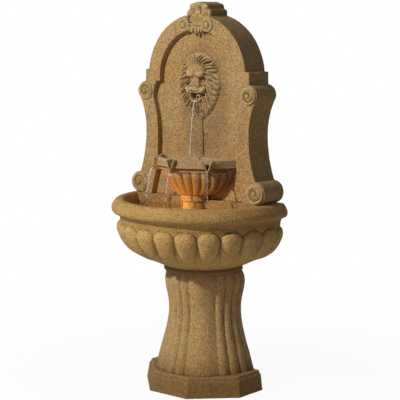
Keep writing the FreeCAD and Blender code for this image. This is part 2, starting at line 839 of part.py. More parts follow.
def make_bowl_stand():
    outer = stand_shape(stand_neck_radius, stand_base_radius, stand_collar_radius, pool_floor_z)
    neck = stand_neck_radius - stand_wall
    inner = stand_shape(neck, stand_base_radius - stand_wall, neck, pool_floor_z - past)
    body = outer.cut(inner).cut(behind(panel_front_y))
    collar = stand_collar_radius
    heel = box((-collar, panel_front_y - past, rim_z), (collar, niche_floor_y, bowl_seat_z))
    slot = box((hose_x - hose_slot_half_width, panel_front_y - neck, rim_z - past),
               (hose_x + hose_slot_half_width, niche_floor_y + past, bowl_seat_z + past))
    body = fused(body, heel).cut(slot)
    for angle in stand_arch_angles:
        body = body.cut(stand_gate(angle))
    return body


# Rear cover, fasteners and pins

def make_rear_cover():
    half = cavity_half_width + cover_rebate - cover_edge_gap
    outline = arched_outline(half, cavity_bottom_z - cover_rebate + cover_edge_gap)
    body = plate(outline, cover_seat_y + cover_thickness, cover_seat_y + cover_seat_gap)
    holes = [y_rod(cover_screw[0] + screw_gap, x, z, 0, wall_y) for x, z in cover_screw_spots()]
    holes.append(y_rod(grommet_radius + screw_gap, grommet_x, grommet_z, 0, wall_y))
    return body.cut(holes)


def make_cover_screws():
    head_y = cover_seat_y + cover_thickness
    spots = [point(x, head_y, z) for x, z in cover_screw_spots()]
    return Part.makeCompound([screw(cover_screw, spot, -along_y, cover_screw_length) for spot in spots])


def make_cord_grommet():
    """A sleeve through the cover with a flange on either side."""
    inner_y = cover_seat_y + cover_seat_gap
    outer_y = cover_seat_y + cover_thickness
    inner_radius, inner_height = grommet_inner_flange
    outer_radius, outer_height = grommet_outer_flange
    start_y = cover_seat_y - inner_height
    end_y = outer_y + outer_height
    sleeve = y_rod(grommet_radius, grommet_x, grommet_z, inner_y, outer_y)
    inner = y_rod(inner_radius, grommet_x, grommet_z, start_y, inner_y)
    outer = y_rod(outer_radius, grommet_x, grommet_z, outer_y, end_y)
    return fused(sleeve, inner, outer).cut(y_rod(grommet_bore, grommet_x, grommet_z, start_y, end_y))


def make_mask_screws():
    head_y = cavity_front_y + mask_washer[1]
    length = mask_screw_bite + head_y - niche_floor_y
    spots = [point(x, head_y, z) for x, z in mask_screw_spots()]
    return Part.makeCompound([screw(mask_screw, spot, -along_y, length) for spot in spots])


def washer(sizes, bore, x, z):
    radius, thickness = sizes
    end_y = cavity_front_y + thickness
    return y_rod(radius, x, z, cavity_front_y, end_y).cut(y_rod(bore, x, z, cavity_front_y, end_y))


def make_mask_washers():
    bore = mask_screw[0] + screw_gap
    return Part.makeCompound([washer(mask_washer, bore, x, z) for x, z in mask_screw_spots()])


def make_bowl_bolts():
    radius, height = bolt_head
    head_y = cavity_front_y + bowl_washer[1]
    bolts = []
    for x in (-bowl_bolt_x, bowl_bolt_x):
        shank = y_rod(bolt_radius, x, bowl_bolt_z, head_y, niche_floor_y - bowl_bolt_bite)
        bolts.append(fused(hexagon_bar(radius, x, bowl_bolt_z, head_y, height), shank))
    return Part.makeCompound(bolts)


def make_bowl_washers():
    bore = bolt_radius + screw_gap
    return Part.makeCompound([washer(bowl_washer, bore, x, bowl_bolt_z) for x in (-bowl_bolt_x, bowl_bolt_x)])


def make_locating_pins():
    low_z = rim_z - pin_bite
    high_z = rim_z + pin_bite
    return Part.makeCompound([z_rod(pin_radius, x, 0, low_z, high_z) for x in (-pin_x, pin_x)])


# Water path

def hose_path():
    """Up from the pump, back through the panel's slot in an S bend, and up to the spout."""
    turn = radians(hose_bend_angle)
    side = hose_bend_radius * (1 - cos(turn))
    rise = hose_bend_radius * sin(turn)
    slant = (hose_high_y - hose_low_y - 2 * side) / sin(turn)
    half_bend = point(0, hose_bend_radius * (1 - cos(turn / 2)), hose_bend_radius * sin(turn / 2))
    bend_start = point(hose_x, hose_low_y, hose_bend_start_z)
    bend_end = bend_start + point(0, side, rise)
    second_start = bend_end + point(0, slant * sin(turn), slant * cos(turn))
    second_end = second_start + point(0, side, rise)
    low = point(hose_x, hose_low_y, hose_low_end_z)
    high = point(hose_x, hose_high_y, hose_top_z)
    path = [line(low, bend_start), arc(bend_start, bend_start + half_bend, bend_end)]
    path += [line(bend_end, second_start), arc(second_start, second_end - half_bend, second_end)]
    return path + [line(second_end, high)]


def make_hose():
    path = hose_path()
    body = pipe(path, hose_radius).cut(pipe(path, hose_bore))
    length = sum(edge.Length for edge in path)
    section = pi * (hose_radius ** 2 - hose_bore ** 2)
    share = body.Volume / (section * length)
    print("hose length %.1f, volume over section times length %.4f" % (length, share))
    return body


def make_spout_elbow():
    """The bent tube that runs from the hose through the panel into the lion's mouth."""
    bend_y = hose_high_y - elbow_radius
    bend_z = spout_z - elbow_radius
    tip = point(mask_x, spout_tip_y, spout_z)
    bend_start = point(mask_x, bend_y, spout_z)
    bend_end = point(mask_x, hose_high_y, bend_z)
    middle = point(mask_x, bend_y, bend_z) + point(0, sin(pi / 4), cos(pi / 4)) * elbow_radius
    low = point(mask_x, hose_high_y, hose_top_z - hose_grip)
    path = [line(tip, bend_start), arc(bend_start, middle, bend_end), line(bend_end, low)]
    return pipe(path, tube_radius).cut(pipe(path, tube_bore))


def make_spout_nut():
    body = hexagon_bar(spout_nut_radius, mask_x, spout_z, cavity_front_y, spout_nut_height)
    return body.cut(y_rod(tube_radius + screw_gap, mask_x, spout_z, cavity_front_y - past, far))


def make_hose_clamps():
    inner = hose_radius + screw_gap
    length, half_depth, overhang = clamp_box
    clamps = []
    near_x = hose_x + inner + clamp_wall / 4
    low_place = (hose_low_y, hose_low_end_z + clamp_inset)
    high_place = (hose_high_y, hose_top_z - clamp_width - clamp_inset)
    for y, low_z in (low_place, high_place):
        high_z = low_z + clamp_width
        screw_box = box((near_x, y - half_depth, low_z - overhang),
                        (near_x + length, y + half_depth, high_z + overhang))
        band = z_rod(inner + clamp_wall, hose_x, y, low_z, high_z)
        clamps.append(fused(band.cut(z_rod(inner, hose_x, y, low_z, high_z)), screw_box))
    return Part.makeCompound(clamps)


# Pump

def pump_span(low_x, high_x):
    """The pump's rounded box section between two stations along its axis."""
    low = (pump_x + low_x, pump_axis_y - pump_half_depth, pump_bottom_z)
    high = (pump_x + high_x, pump_axis_y + pump_half_depth, pump_bottom_z + pump_height)
    block = box(low, high)
    long_edges = [edge for edge in block.Edges if abs(edge.tangentAt(edge.FirstParameter).x) > 0.9]
    return block.makeFillet(pump_corner, long_edges)


def pump_rod(radius, low_x, high_x):
    return x_rod(radius, pump_axis_y, pump_axis_z, pump_x + low_x, pump_x + high_x)


def pump_screw_spots():
    reach_y = pump_half_depth - pump_screw_inset
    reach_z = pump_height / 2 - pump_screw_inset
    return [(pump_axis_y + sy * reach_y, pump_axis_z + sz * reach_z) for sy in (-1, 1) for sz in (-1, 1)]


def pump_screw_holes(radius, low_x, high_x):
    return [x_rod(radius, y, z, pump_x + low_x, pump_x + high_x) for y, z in pump_screw_spots()]


def make_pump_housing():
    well_radius, well_end_x = rotor_well
    holes = [pump_rod(well_radius, volute_high_x - past, well_end_x)]
    holes.append(pump_rod(shaft_radius, volute_high_x, shaft_socket_x))
    screw_end_x = volute_high_x + pump_screw_bite + hole_end_gap
    holes += pump_screw_holes(pump_screw[0] + screw_gap, volute_high_x - past, screw_end_x)
    return pump_span(volute_high_x, volute_end_x).cut(holes)


def make_pump_volute():
    """The pump chamber with its intake, shaft bridge and upright outlet."""
    outlet_top_z = hose_low_end_z + hose_grip
    outlet = z_rod(tube_radius, hose_x, hose_low_y, pump_axis_z, outlet_top_z)
    body = fused(pump_span(volute_low_x, volute_high_x), outlet)
    body = body.cut(pump_rod(chamber_radius, volute_low_x + volute_wall, volute_high_x + past))
    body = body.cut(z_rod(tube_bore, hose_x, hose_low_y, pump_axis_z, outlet_top_z + past))
    body = body.cut(pump_rod(intake_radius, volute_low_x - past, volute_high_x))
    low_x = pump_x + volute_low_x
    reach = intake_radius + past
    bridge = box((low_x, pump_axis_y - bridge_half_width, pump_axis_z - reach),
                 (low_x + volute_wall, pump_axis_y + bridge_half_width, pump_axis_z + reach))
    holes = [pump_rod(shaft_radius, volute_low_x - past, volute_high_x)]
    holes += pump_screw_holes(pump_screw[0] + screw_gap, volute_low_x - past, volute_high_x + past)
    return fused(body, bridge).cut(holes)


def make_intake_grille():
    """A hollow cap with level slots through both sides and a hole for the dial."""
    low_x = pump_x + grille_low_x
    high_x = pump_x + volute_low_x
    half_hollow = pump_half_depth - grille_side
    top_z = pump_bottom_z + pump_height
    hollow = box((low_x + grille_wall, pump_axis_y - half_hollow, pump_bottom_z + grille_wall),
                 (high_x + past, pump_axis_y + half_hollow, top_z - grille_wall))
    body = pump_span(grille_low_x, volute_low_x).cut(hollow)
    pitch = (pump_height - 2 * pump_corner) / grille_slot_count
    start_gap, end_gap = grille_slot_ends
    for k in range(grille_slot_count):
        low_z = pump_bottom_z + pump_corner + (k + 0.5) * pitch - grille_slot_width / 2
        slot = box((low_x + start_gap, pump_axis_y - far, low_z),
                   (high_x - end_gap, pump_axis_y + far, low_z + grille_slot_width))
        body = body.cut(slot)
    holes = [pump_rod(dial_stem_radius, grille_low_x - past, grille_low_x + grille_wall + past)]
    holes += pump_screw_holes(pump_screw_well, grille_low_x - past, volute_low_x + past)
    return body.cut(holes)


def make_flow_dial():
    face_x = grille_low_x - dial_thickness
    disc = pump_rod(dial_radius, face_x, grille_low_x - dial_gap)
    stem = pump_rod(dial_stem_radius - running_gap, grille_low_x - dial_gap, grille_low_x + dial_stem_length)
    half_length, half_width, height = dial_grip
    grip = box((pump_x + face_x - height, pump_axis_y - half_length, pump_axis_z - half_width),
               (pump_x + face_x + past, pump_axis_y + half_length, pump_axis_z + half_width))
    return fused(disc, stem, grip)


def make_impeller():
    """Magnet rotor, hub, web disc and blades in one piece, bored for the fixed shaft."""
    rotor = pump_rod(rotor_radius, rotor_low_x, rotor_low_x + rotor_length)
    pieces = [pump_rod(hub_radius, hub_low_x, rotor_low_x), pump_rod(blade_radius, *web_x)]
    half = blade_thickness / 2
    for k in range(blade_count):
        blade = box((blade_low_x, blade_root, -half), (web_x[0] + past / 2, blade_radius, half))
        blade.rotate(point(0, 0, 0), along_x, k * 360.0 / blade_count)
        blade.translate(point(pump_x, pump_axis_y, pump_axis_z))
        pieces.append(blade)
    return fused(rotor, *pieces).cut(pump_rod(shaft_radius + running_gap, -far, far))


def make_impeller_shaft():
    return pump_rod(shaft_radius, *shaft_x)


def make_pump_screws():
    spots = [point(pump_x + volute_low_x, y, z) for y, z in pump_screw_spots()]
    length = volute_high_x - volute_low_x + pump_screw_bite
    return Part.makeCompound([screw(pump_screw, spot, along_x, length) for spot in spots])


def make_pump_feet():
    """Four suction cups under the pump."""
    base_radius, stem_radius, height = foot_cup
    reach_y = pump_half_depth - foot_inset_y
    feet = []
    for x in (pump_x + grille_low_x + foot_inset_x, pump_x + volute_end_x - foot_inset_x):
        for y in (pump_axis_y - reach_y, pump_axis_y + reach_y):
            cup = Part.makeCone(base_radius, stem_radius, height, point(x, y, pool_floor_z))
            feet.append(fused(cup, z_rod(stem_radius, x, y, pool_floor_z + height, pump_bottom_z)))
    return Part.makeCompound(feet)


def make_pump_gland():
    """The flange and sleeve where the cord enters the pump."""
    flange_radius, flange_length = gland_flange
    sleeve_radius, bore, sleeve_length = gland_sleeve
    start = point(pump_x + volute_end_x, pump_axis_y, pump_bottom_z + pump_height - gland_drop)
    middle = start + along_x * flange_length
    end = middle + along_x * sleeve_length
    sleeve = rod(sleeve_radius, middle, end)
    return fused(rod(flange_radius, start, middle), sleeve).cut(rod(bore, middle, end))


# Lamp

def lamp_rod(radius, low_z, high_z):
    return z_rod(radius, lamp_x, lamp_y, low_z, high_z)


def lamp_ring(radius, bore, low_z, high_z):
    return lamp_rod(radius, low_z, high_z).cut(lamp_rod(bore, low_z, high_z))


def pivot_rod(radius, start_x, end_x):
    return x_rod(radius, lamp_y, lamp_pivot_z, lamp_x + start_x, lamp_x + end_x)


def make_lamp_foot():
    return lamp_rod(lamp_pad_radius, pool_floor_z, lamp_base_z)


def make_lamp_bracket():
    """A round base with two upright ears that hold the lamp's pivots."""
    pieces = []
    for low_x in (lamp_ear_x, -lamp_ear_x - lamp_ear_thickness):
        high_x = low_x + lamp_ear_thickness
        pieces.append(box((lamp_x + low_x, lamp_y - lamp_ear_half_width, lamp_base_z),
                          (lamp_x + high_x, lamp_y + lamp_ear_half_width, lamp_pivot_z)))
        pieces.append(pivot_rod(lamp_ear_half_width, low_x, high_x))
    body = fused(lamp_rod(lamp_base_radius, lamp_base_z, lamp_base_z + lamp_base_thickness), *pieces)
    return body.cut(pivot_rod(lamp_pin[0] + running_gap, -far, far))


def make_lamp_housing():
    """A finned cup with two pivot bosses."""
    pieces = [lamp_rod(lamp_radius, lamp_rim_z - lamp_lip, lamp_rim_z)]
    pieces.append(pivot_rod(lamp_boss_radius, -lamp_boss_x, lamp_boss_x))
    pieces += [lamp_rod(lamp_radius, lamp_low_z + low, lamp_low_z + high) for low, high in lamp_fins]
    body = fused(lamp_rod(lamp_cup_radius, lamp_low_z, lamp_rim_z), *pieces)
    body = body.cut(lamp_rod(lamp_cup_radius - lamp_wall, lamp_low_z + lamp_floor, lamp_rim_z + past))
    body = body.cut(pivot_rod(lamp_pin[0], -far, far))
    return body.cut(lamp_rod(lamp_gland_radius, lamp_low_z - past, lamp_low_z + lamp_floor + past))


def make_lamp_board():
    """A round board that carries three light chips."""
    low_z = lamp_low_z + lamp_floor
    top_z = low_z + lamp_board_thickness
    size, height = lamp_chip
    chips = []
    for k in range(lamp_chip_count):
        turn = 2 * pi * k / lamp_chip_count
        low_x = lamp_x + lamp_chip_ring * cos(turn) - size / 2
        low_y = lamp_y + lamp_chip_ring * sin(turn) - size / 2
        chips.append(box((low_x, low_y, top_z), (low_x + size, low_y + size, top_z + height)))
    return fused(lamp_rod(lamp_board_radius, low_z, top_z), *chips)


def make_lamp_seal():
    """A square ring between the housing's lip and the lens."""
    return lamp_ring(lamp_lens_radius, lamp_seal_bore, lamp_rim_z, lamp_lens_z)


def make_lamp_lens():
    radius, height = lamp_lens_crown
    disc = lamp_rod(lamp_lens_radius, lamp_lens_z, lamp_lens_top)
    return fused(disc, lamp_rod(radius, lamp_lens_top, lamp_lens_top + height))


def make_lamp_bezel():
    """A ring round the lens with a lip over its edge."""
    skirt = lamp_ring(lamp_bezel_radius, lamp_lens_radius, lamp_rim_z, lamp_lens_top)
    lip_top = lamp_lens_top + lamp_bezel_lip
    return fused(skirt, lamp_ring(lamp_bezel_radius, lamp_seal_bore, lamp_lens_top, lip_top))


def make_lamp_pins():
    inner = lamp_cup_radius - lamp_wall
    outer = lamp_ear_x + lamp_ear_thickness + lamp_pin_gap
    pins = []
    for side in (-1, 1):
        spot = point(lamp_x + side * outer, lamp_y, lamp_pivot_z)
        pins.append(screw(lamp_pin, spot, along_x * -side, outer - inner))
    return Part.makeCompound(pins)


def make_lamp_gland():
    low_z = lamp_low_z - lamp_gland_drop
    return lamp_ring(lamp_gland_radius, lamp_gland_bore, low_z, lamp_low_z + lamp_floor)


makers = {
    "pedestal": make_pedestal,
    "basin": make_basin,
    "back_panel": make_back_panel,
    "lion_mask": make_lion_mask,
    "upper_bowl": make_upper_bowl,
    "bowl_stand": make_bowl_stand,
    "rear_cover": make_rear_cover,
    "cover_screws": make_cover_screws,
    "cord_grommet": make_cord_grommet,
    "mask_screws": make_mask_screws,
    "mask_washers": make_mask_washers,
    "bowl_bolts": make_bowl_bolts,
    "bowl_washers": make_bowl_washers,
    "locating_pins": make_locating_pins,
    "hose": make_hose,
    "spout_elbow": make_spout_elbow,
    "spout_nut": make_spout_nut,
    "hose_clamps": make_hose_clamps,
    "pump_housing": make_pump_housing,
    "pump_volute": make_pump_volute,
    "intake_grille": make_intake_grille,
    "flow_dial": make_flow_dial,
    "impeller": make_impeller,
    "impeller_shaft": make_impeller_shaft,
    "pump_screws": make_pump_screws,
    "pump_feet": make_pump_feet,
    "pump_gland": make_pump_gland,
    "lamp_foot": make_lamp_foot,
    "lamp_bracket": make_lamp_bracket,
    "lamp_housing": make_lamp_housing,
    "lamp_board": make_lamp_board,
    "lamp_seal": make_lamp_seal,
    "lamp_lens": make_lamp_lens,
    "lamp_bezel": make_lamp_bezel,
    "lamp_pins": make_lamp_pins,
    "lamp_gland": make_lamp_gland,
}

os.makedirs("parts", exist_ok=True)
for name, make in makers.items():
    shape = make()
    shape.exportStep("parts/%s.step" % name)
    print(name, "valid" if shape.isValid() else "NOT VALID", len(shape.Solids), "%.0f" % shape.Volume)
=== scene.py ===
"""Looks of a flat-backed lion fountain: cast stone, carving, water, pump and lamp fittings."""
import json
import math

import bmesh
import bpy
import numpy as np
from bpy.props import FloatProperty, FloatVectorProperty, IntProperty, PointerProperty
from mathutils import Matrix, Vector


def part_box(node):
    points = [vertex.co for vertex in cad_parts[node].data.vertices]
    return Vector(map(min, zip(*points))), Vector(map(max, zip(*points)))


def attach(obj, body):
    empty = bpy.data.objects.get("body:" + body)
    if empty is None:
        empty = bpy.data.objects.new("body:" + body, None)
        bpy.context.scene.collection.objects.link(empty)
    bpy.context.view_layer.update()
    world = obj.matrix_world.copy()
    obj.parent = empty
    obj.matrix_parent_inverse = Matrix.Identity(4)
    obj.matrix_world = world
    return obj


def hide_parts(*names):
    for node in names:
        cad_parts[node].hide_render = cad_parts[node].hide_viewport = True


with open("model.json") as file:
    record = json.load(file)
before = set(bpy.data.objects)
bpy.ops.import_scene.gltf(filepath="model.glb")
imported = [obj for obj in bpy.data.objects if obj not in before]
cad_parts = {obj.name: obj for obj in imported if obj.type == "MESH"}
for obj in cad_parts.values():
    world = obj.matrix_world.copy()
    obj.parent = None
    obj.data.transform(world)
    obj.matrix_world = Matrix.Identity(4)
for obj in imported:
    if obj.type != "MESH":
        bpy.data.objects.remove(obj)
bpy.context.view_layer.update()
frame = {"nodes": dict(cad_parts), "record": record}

bl_info = {
    "name": "Lion Fountain",
    "version": (1, 0, 0),
    "blender": (4, 5, 0),
    "location": "View3D > Sidebar > Fountain",
    "description": "Dresses the frame of a flat-backed lion fountain in cast stone, water and fittings",
    "category": "Object",
}

# Places on the frame, in metres
MM = 0.001
WALL_Y = 0.057
PANEL_FRONT_Y = -0.051
NICHE_FLOOR_Y = -0.029
CREST_FACE_Y = -0.035
MASK_X = 0.006
MASK_Z = 1.040
SPOUT_Z = 1.005
BASIN_AXIS_Y = -0.008
STATIC_BODY = "fountain"


# Settings

def colour(name, about, value):
    """A colour setting."""
    return FloatVectorProperty(name=name, description=about, subtype="COLOR", size=3, min=0.0, max=1.0,
                               default=value)


def length(name, about, value):
    """A length setting in metres."""
    return FloatProperty(name=name, description=about, unit="LENGTH", default=value, precision=4)


class StoneSettings(bpy.types.PropertyGroup):
    """Colours and surface of the cast stone."""
    light: colour("Light", "Main colour of the dry stone", (0.385, 0.245, 0.112))
    warm: colour("Warm", "Yellow patches in the stone", (0.370, 0.222, 0.088))
    green: colour("Green", "Grey-green patches in the stone", (0.235, 0.172, 0.082))
    # Soil also darkens the hollows as painted shade along with dirt, and worn lightens the crests as painted
    # highlight along with wear
    soil_and_shade: colour("Soil", "Dirt in pits and hollows", (0.085, 0.055, 0.026))
    worn: colour("Worn", "Raised edges and crests", (0.56, 0.41, 0.23))
    grain: length("Grain", "Size of the sand grain", 0.0038)
    relief: length("Relief", "Depth of the grain", 0.0012)
    unevenness: length("Unevenness", "Height of the casting's soft waves", 0.0016)


class WaterSettings(bpy.types.PropertyGroup):
    """Levels and looks of the water."""
    basin_level: length("Basin level", "Height of the water in the basin", 0.626)
    bowl_level: length("Bowl level", "Height of the water in the upper bowl", 0.7665)
    ripple: length("Ripple", "Height of the ripples", 0.0022)
    jet_radius: length("Jet radius", "Radius of the stream from the mouth", 0.0035)
    spill_radius: length("Spill radius", "Radius of the streams from the bowl", 0.0028)
    tint: colour("Tint", "Colour of the water", (0.93, 0.97, 0.95))
    seed: IntProperty(name="Seed", description="Number that sets the drops", default=11)


class LampSettings(bpy.types.PropertyGroup):
    """The under-water lamp."""
    glow: colour("Glow", "Colour of the lamp", (1.0, 0.47, 0.09))
    power: FloatProperty(name="Power", description="Power of the lamp in watts", default=1.2)


class StageSettings(bpy.types.PropertyGroup):
    """Floor, light and camera."""
    floor: colour("Floor", "Colour of the floor", (0.78, 0.77, 0.75))
    key: FloatProperty(name="Key light", description="Power of the main light in watts", default=64.0)
    key_size: length("Key size", "Width of the main light; a wider one casts softer shadows", 0.12)
    ambient: FloatProperty(name="Ambient", description="Strength of light from all around", default=0.16)


class FountainSettings(bpy.types.PropertyGroup):
    """All settings of the fountain."""
    stone: PointerProperty(type=StoneSettings)
    water: PointerProperty(type=WaterSettings)
    lamp: PointerProperty(type=LampSettings)
    stage: PointerProperty(type=StageSettings)


def settings():
    """The settings that the scene holds."""
    return bpy.context.scene.fountain


def once(store):
    """Has a material, node group or texture made once, and found by its name after that."""
    def keep(make):
        def found(name, *look):
            return getattr(bpy.data, store).get(name) or make(name, *look)
        return found
    return keep


# Meshes

def read(items, field, width, kind=float):
    """A field of a mesh's points or edges, one row for each."""
    values = np.empty(len(items) * width, kind)
    items.foreach_get(field, values)
    return values.reshape(-1, width)


def linked(name, data):
    """A new object at the origin with the given mesh, light or camera."""
    obj = bpy.data.objects.new(name, data)
    bpy.context.scene.collection.objects.link(obj)
    return obj


def meshed(name, points, faces):
    """A new object from points and faces, with its normals turned outwards."""
    mesh = bpy.data.meshes.new(name)
    mesh.from_pydata(np.asarray(points, float).tolist(), [], [list(map(int, face)) for face in faces])
    shell = bmesh.new()
    shell.from_mesh(mesh)
    bmesh.ops.recalc_face_normals(shell, faces=shell.faces)
    shell.to_mesh(mesh)
    shell.free()
    return linked(name, mesh)


def settle(obj):
    """Turns an object's modifiers into its mesh."""
    graph = bpy.context.evaluated_depsgraph_get()
    mesh = bpy.data.meshes.new_from_object(obj.evaluated_get(graph))
    obj.modifiers.clear()
    old = obj.data
    obj.data = mesh
    bpy.data.meshes.remove(old)


def carve(target, cutter):
    """Cuts one mesh out of another, and drops the cutter."""
    change = target.modifiers.new("carve", "BOOLEAN")
    change.operation = "DIFFERENCE"
    change.solver = "EXACT"
    change.object = cutter
    settle(target)
    mesh = cutter.data
    bpy.data.objects.remove(cutter)
    bpy.data.meshes.remove(mesh)


def cut_flat(obj, place, normal):
    """Cuts a closed mesh at a plane, drops the side the normal points to and closes the cut."""
    shell = bmesh.new()
    shell.from_mesh(obj.data)
    parts = shell.verts[:] + shell.edges[:] + shell.faces[:]
    cut = bmesh.ops.bisect_plane(shell, geom=parts, plane_co=place, plane_no=normal, clear_outer=True)
    edges = [part for part in cut["geom_cut"] if isinstance(part, bmesh.types.BMEdge)]
    bmesh.ops.holes_fill(shell, edges=edges, sides=0)
    shell.to_mesh(obj.data)
    shell.free()


def grid_faces(rows, columns, ring):
    """Quads of a grid of points; a ring joins its last column to its first."""
    ids = np.arange(rows * columns).reshape(rows, columns)
    right = np.roll(ids, -1, axis=1)
    quads = np.stack([ids[:-1], right[:-1], right[1:], ids[1:]], axis=-1)
    if not ring:
        quads = quads[:, :-1]
    return quads.reshape(-1, 4)


def curve_through(points, steps):
    """Points on a smooth curve through the given points."""
    given = np.array(points, float)
    ends = np.vstack([2 * given[0] - given[1], given, 2 * given[-1] - given[-2]])
    t = np.linspace(0, 1, steps, endpoint=False)[:, None]
    spans = []
    for a, b, c, d in zip(ends, ends[1:], ends[2:], ends[3:]):
        spans.append(0.5 * (2 * b + (c - a) * t + (2 * a - 5 * b + 4 * c - d) * t ** 2
                            + (3 * b - a - 3 * c + d) * t ** 3))
    return np.vstack(spans + [given[-1:]])


def ringed(name, rings):
    """A closed mesh from rings of points, one above the other, with flat ends."""
    rows, columns, _ = rings.shape
    faces = [tuple(face) for face in grid_faces(rows, columns, ring=True)]
    faces.append(tuple(range(columns)))
    faces.append(tuple(range((rows - 1) * columns, rows * columns)))
    return meshed(name, rings.reshape(-1, 3), faces)


def turned_rings(profile, angles, radius_change=0.0):
    """Rings about the basin's upright axis; an angle of zero points to the front."""
    radius = profile[:, :1] + radius_change
    height = np.broadcast_to(profile[:, 1:], (len(profile), len(angles)))
    return np.stack([radius * np.sin(angles), BASIN_AXIS_Y - radius * np.cos(angles), height], axis=-1)


@once("textures")
def wave_texture(name):
    """Soft clouds, a few centimetres wide."""
    texture = bpy.data.textures.new(name, "CLOUDS")
    texture.noise_scale = 0.045
    texture.noise_depth = 3
    return texture


def uneven(obj):
    """Adds the soft waves of a casting."""
    waves = obj.modifiers.new("waves", "DISPLACE")
    waves.texture = wave_texture("casting_waves")
    waves.texture_coords = "LOCAL"
    waves.strength = settings().stone.unevenness
    waves.mid_level = 0.5


def softened_copy(node, name, cell, keep, rounds):
    """A copy of a node's shape with worn, rounded edges."""
    mesh = frame["nodes"][node].data.copy()
    mesh.materials.clear()
    piece = linked(name, mesh)
    fuse = piece.modifiers.new("fuse", "REMESH")
    fuse.mode = "VOXEL"
    fuse.voxel_size = cell
    soften = piece.modifiers.new("soften", "SMOOTH")
    soften.factor = 0.5
    soften.iterations = rounds
    uneven(piece)
    thin = piece.modifiers.new("thin", "DECIMATE")
    thin.ratio = keep
    settle(piece)
    return piece


# Width of the hollows that take painted shade and dirt, and the depth at which they are full
HOLLOW_REACH = 0.011
HOLLOW_DEPTH = 0.0016


def measure_hollows_for_painted_light(piece):
    """Keeps, for each point of a stone piece, how deep it lies in a hollow, for painted shade; crests are
    below zero, for painted highlight.
    """
    mesh = piece.data
    count = len(mesh.vertices)
    points = read(mesh.vertices, "co", 3)
    normals = read(mesh.vertex_normals, "vector", 3)
    ends = read(mesh.edges, "vertices", 2, int)
    first = ends.T.ravel()
    second = ends[:, ::-1].T.ravel()
    shares = np.maximum(np.bincount(first, minlength=count), 1)
    step = np.linalg.norm(points[ends[:, 0]] - points[ends[:, 1]], axis=1).mean()
    smooth = points.copy()
    for _ in range(int(np.clip((HOLLOW_REACH / step) ** 2, 4, 90))):
        for axis in range(3):
            near = np.bincount(first, smooth[second, axis], count) / shares
            smooth[:, axis] = 0.5 * (smooth[:, axis] + near)
    depth = ((smooth - points) * normals).sum(axis=1) / HOLLOW_DEPTH
    kept = mesh.attributes.new("hollow", "FLOAT", "POINT")
    kept.data.foreach_set("value", np.clip(depth, -1, 1))


def placed(piece, material, slot, body, *nodes):
    """Gives a finished piece its material and its place on a body."""
    if slot == "stone":
        measure_hollows_for_painted_light(piece)
    piece.data.materials.clear()
    piece.data.materials.append(material)
    piece.data.shade_smooth()
    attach(piece, body)
    if nodes:
        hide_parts(*nodes)


def blurred(heights, rounds):
    """Softens a field of heights."""
    for _ in range(rounds):
        wide = np.pad(heights, 1, mode="edge")
        heights = (wide[:-2, 1:-1] + wide[2:, 1:-1] + wide[1:-1, :-2] + wide[1:-1, 2:] + 4 * heights) / 8
    return heights


def relief(name, low, high, cell, face_y, sunk, heights_at):
    """A closed carving on an upright face, from heights in millimetres; what lies below sunk is left away."""
    x = np.arange(low[0], high[0] + cell, cell)
    z = np.arange(low[1], high[1] + cell, cell)
    x, z = np.meshgrid(x, z)
    heights = np.maximum(heights_at(x / MM, z / MM) * MM, -sunk)
    rows, columns = x.shape
    front = np.stack([x, face_y - heights, z], axis=-1).reshape(-1, 3)
    back = np.stack([x, np.full_like(x, face_y + sunk + MM), z], axis=-1).reshape(-1, 3)
    proud = heights > -sunk + 1e-9
    kept = proud[:-1, :-1] | proud[1:, :-1] | proud[:-1, 1:] | proud[1:, 1:]
    quads = grid_faces(rows, columns, ring=False)[kept.reshape(-1)]
    shift = rows * columns
    edges = {}
    for quad in quads.tolist():
        for a, b in zip(quad, quad[1:] + quad[:1]):
            if (b, a) in edges:
                del edges[(b, a)]
            else:
                edges[(a, b)] = True
    walls = np.array([(b, a, a + shift, b + shift) for a, b in edges])
    used, faces = np.unique(np.vstack([quads, quads[:, ::-1] + shift, walls]), return_inverse=True)
    return meshed(name, np.vstack([front, back])[used], faces.reshape(-1, 4))


# Carved forms, all in millimetres on an upright face

# Height of what is not carved, below every face
BURIED = -30.0


def turned(x, z, middle, tilt):
    """Places measured from a middle point, across and along a tilted form."""
    turn = math.radians(tilt)
    across = (x - middle[0]) * math.cos(turn) + (z - middle[1]) * math.sin(turn)
    along = (z - middle[1]) * math.cos(turn) - (x - middle[0]) * math.sin(turn)
    return across, along


def pad(x, z, middle, half, low, high, tilt=0.0):
    """Height of a soft cushion that rises from a low edge to its top."""
    across, along = turned(x, z, middle, tilt)
    rest = 1 - (across / half[0]) ** 2 - (along / half[1]) ** 2
    return np.where(rest > 0, low + (high - low) * np.sqrt(np.maximum(rest, 0)), BURIED)


def dome(x, z, middle, half, rise, tilt=0.0):
    """Height of a rounded boss."""
    return pad(x, z, middle, half, 0.0, rise, tilt)


def dent(x, z, middle, half, depth, tilt=0.0):
    """Depth of a soft hollow."""
    across, along = turned(x, z, middle, tilt)
    return depth * np.exp(-(across / half[0]) ** 2 - (along / half[1]) ** 2)


def blend(a, b, width):
    """The higher of two heights with a rounded corner between them."""
    share = np.clip(0.5 + 0.5 * (a - b) / width, 0, 1)
    return b + (a - b) * share + width * share * (1 - share)


# A lock: points along it, how far its tip narrows, depth of its strands, share of its height at the edge
LOCK_STEPS = 26
LOCK_TAPER = 0.85
STRAND_DEPTH = 0.45
LOCK_EDGE = 0.38


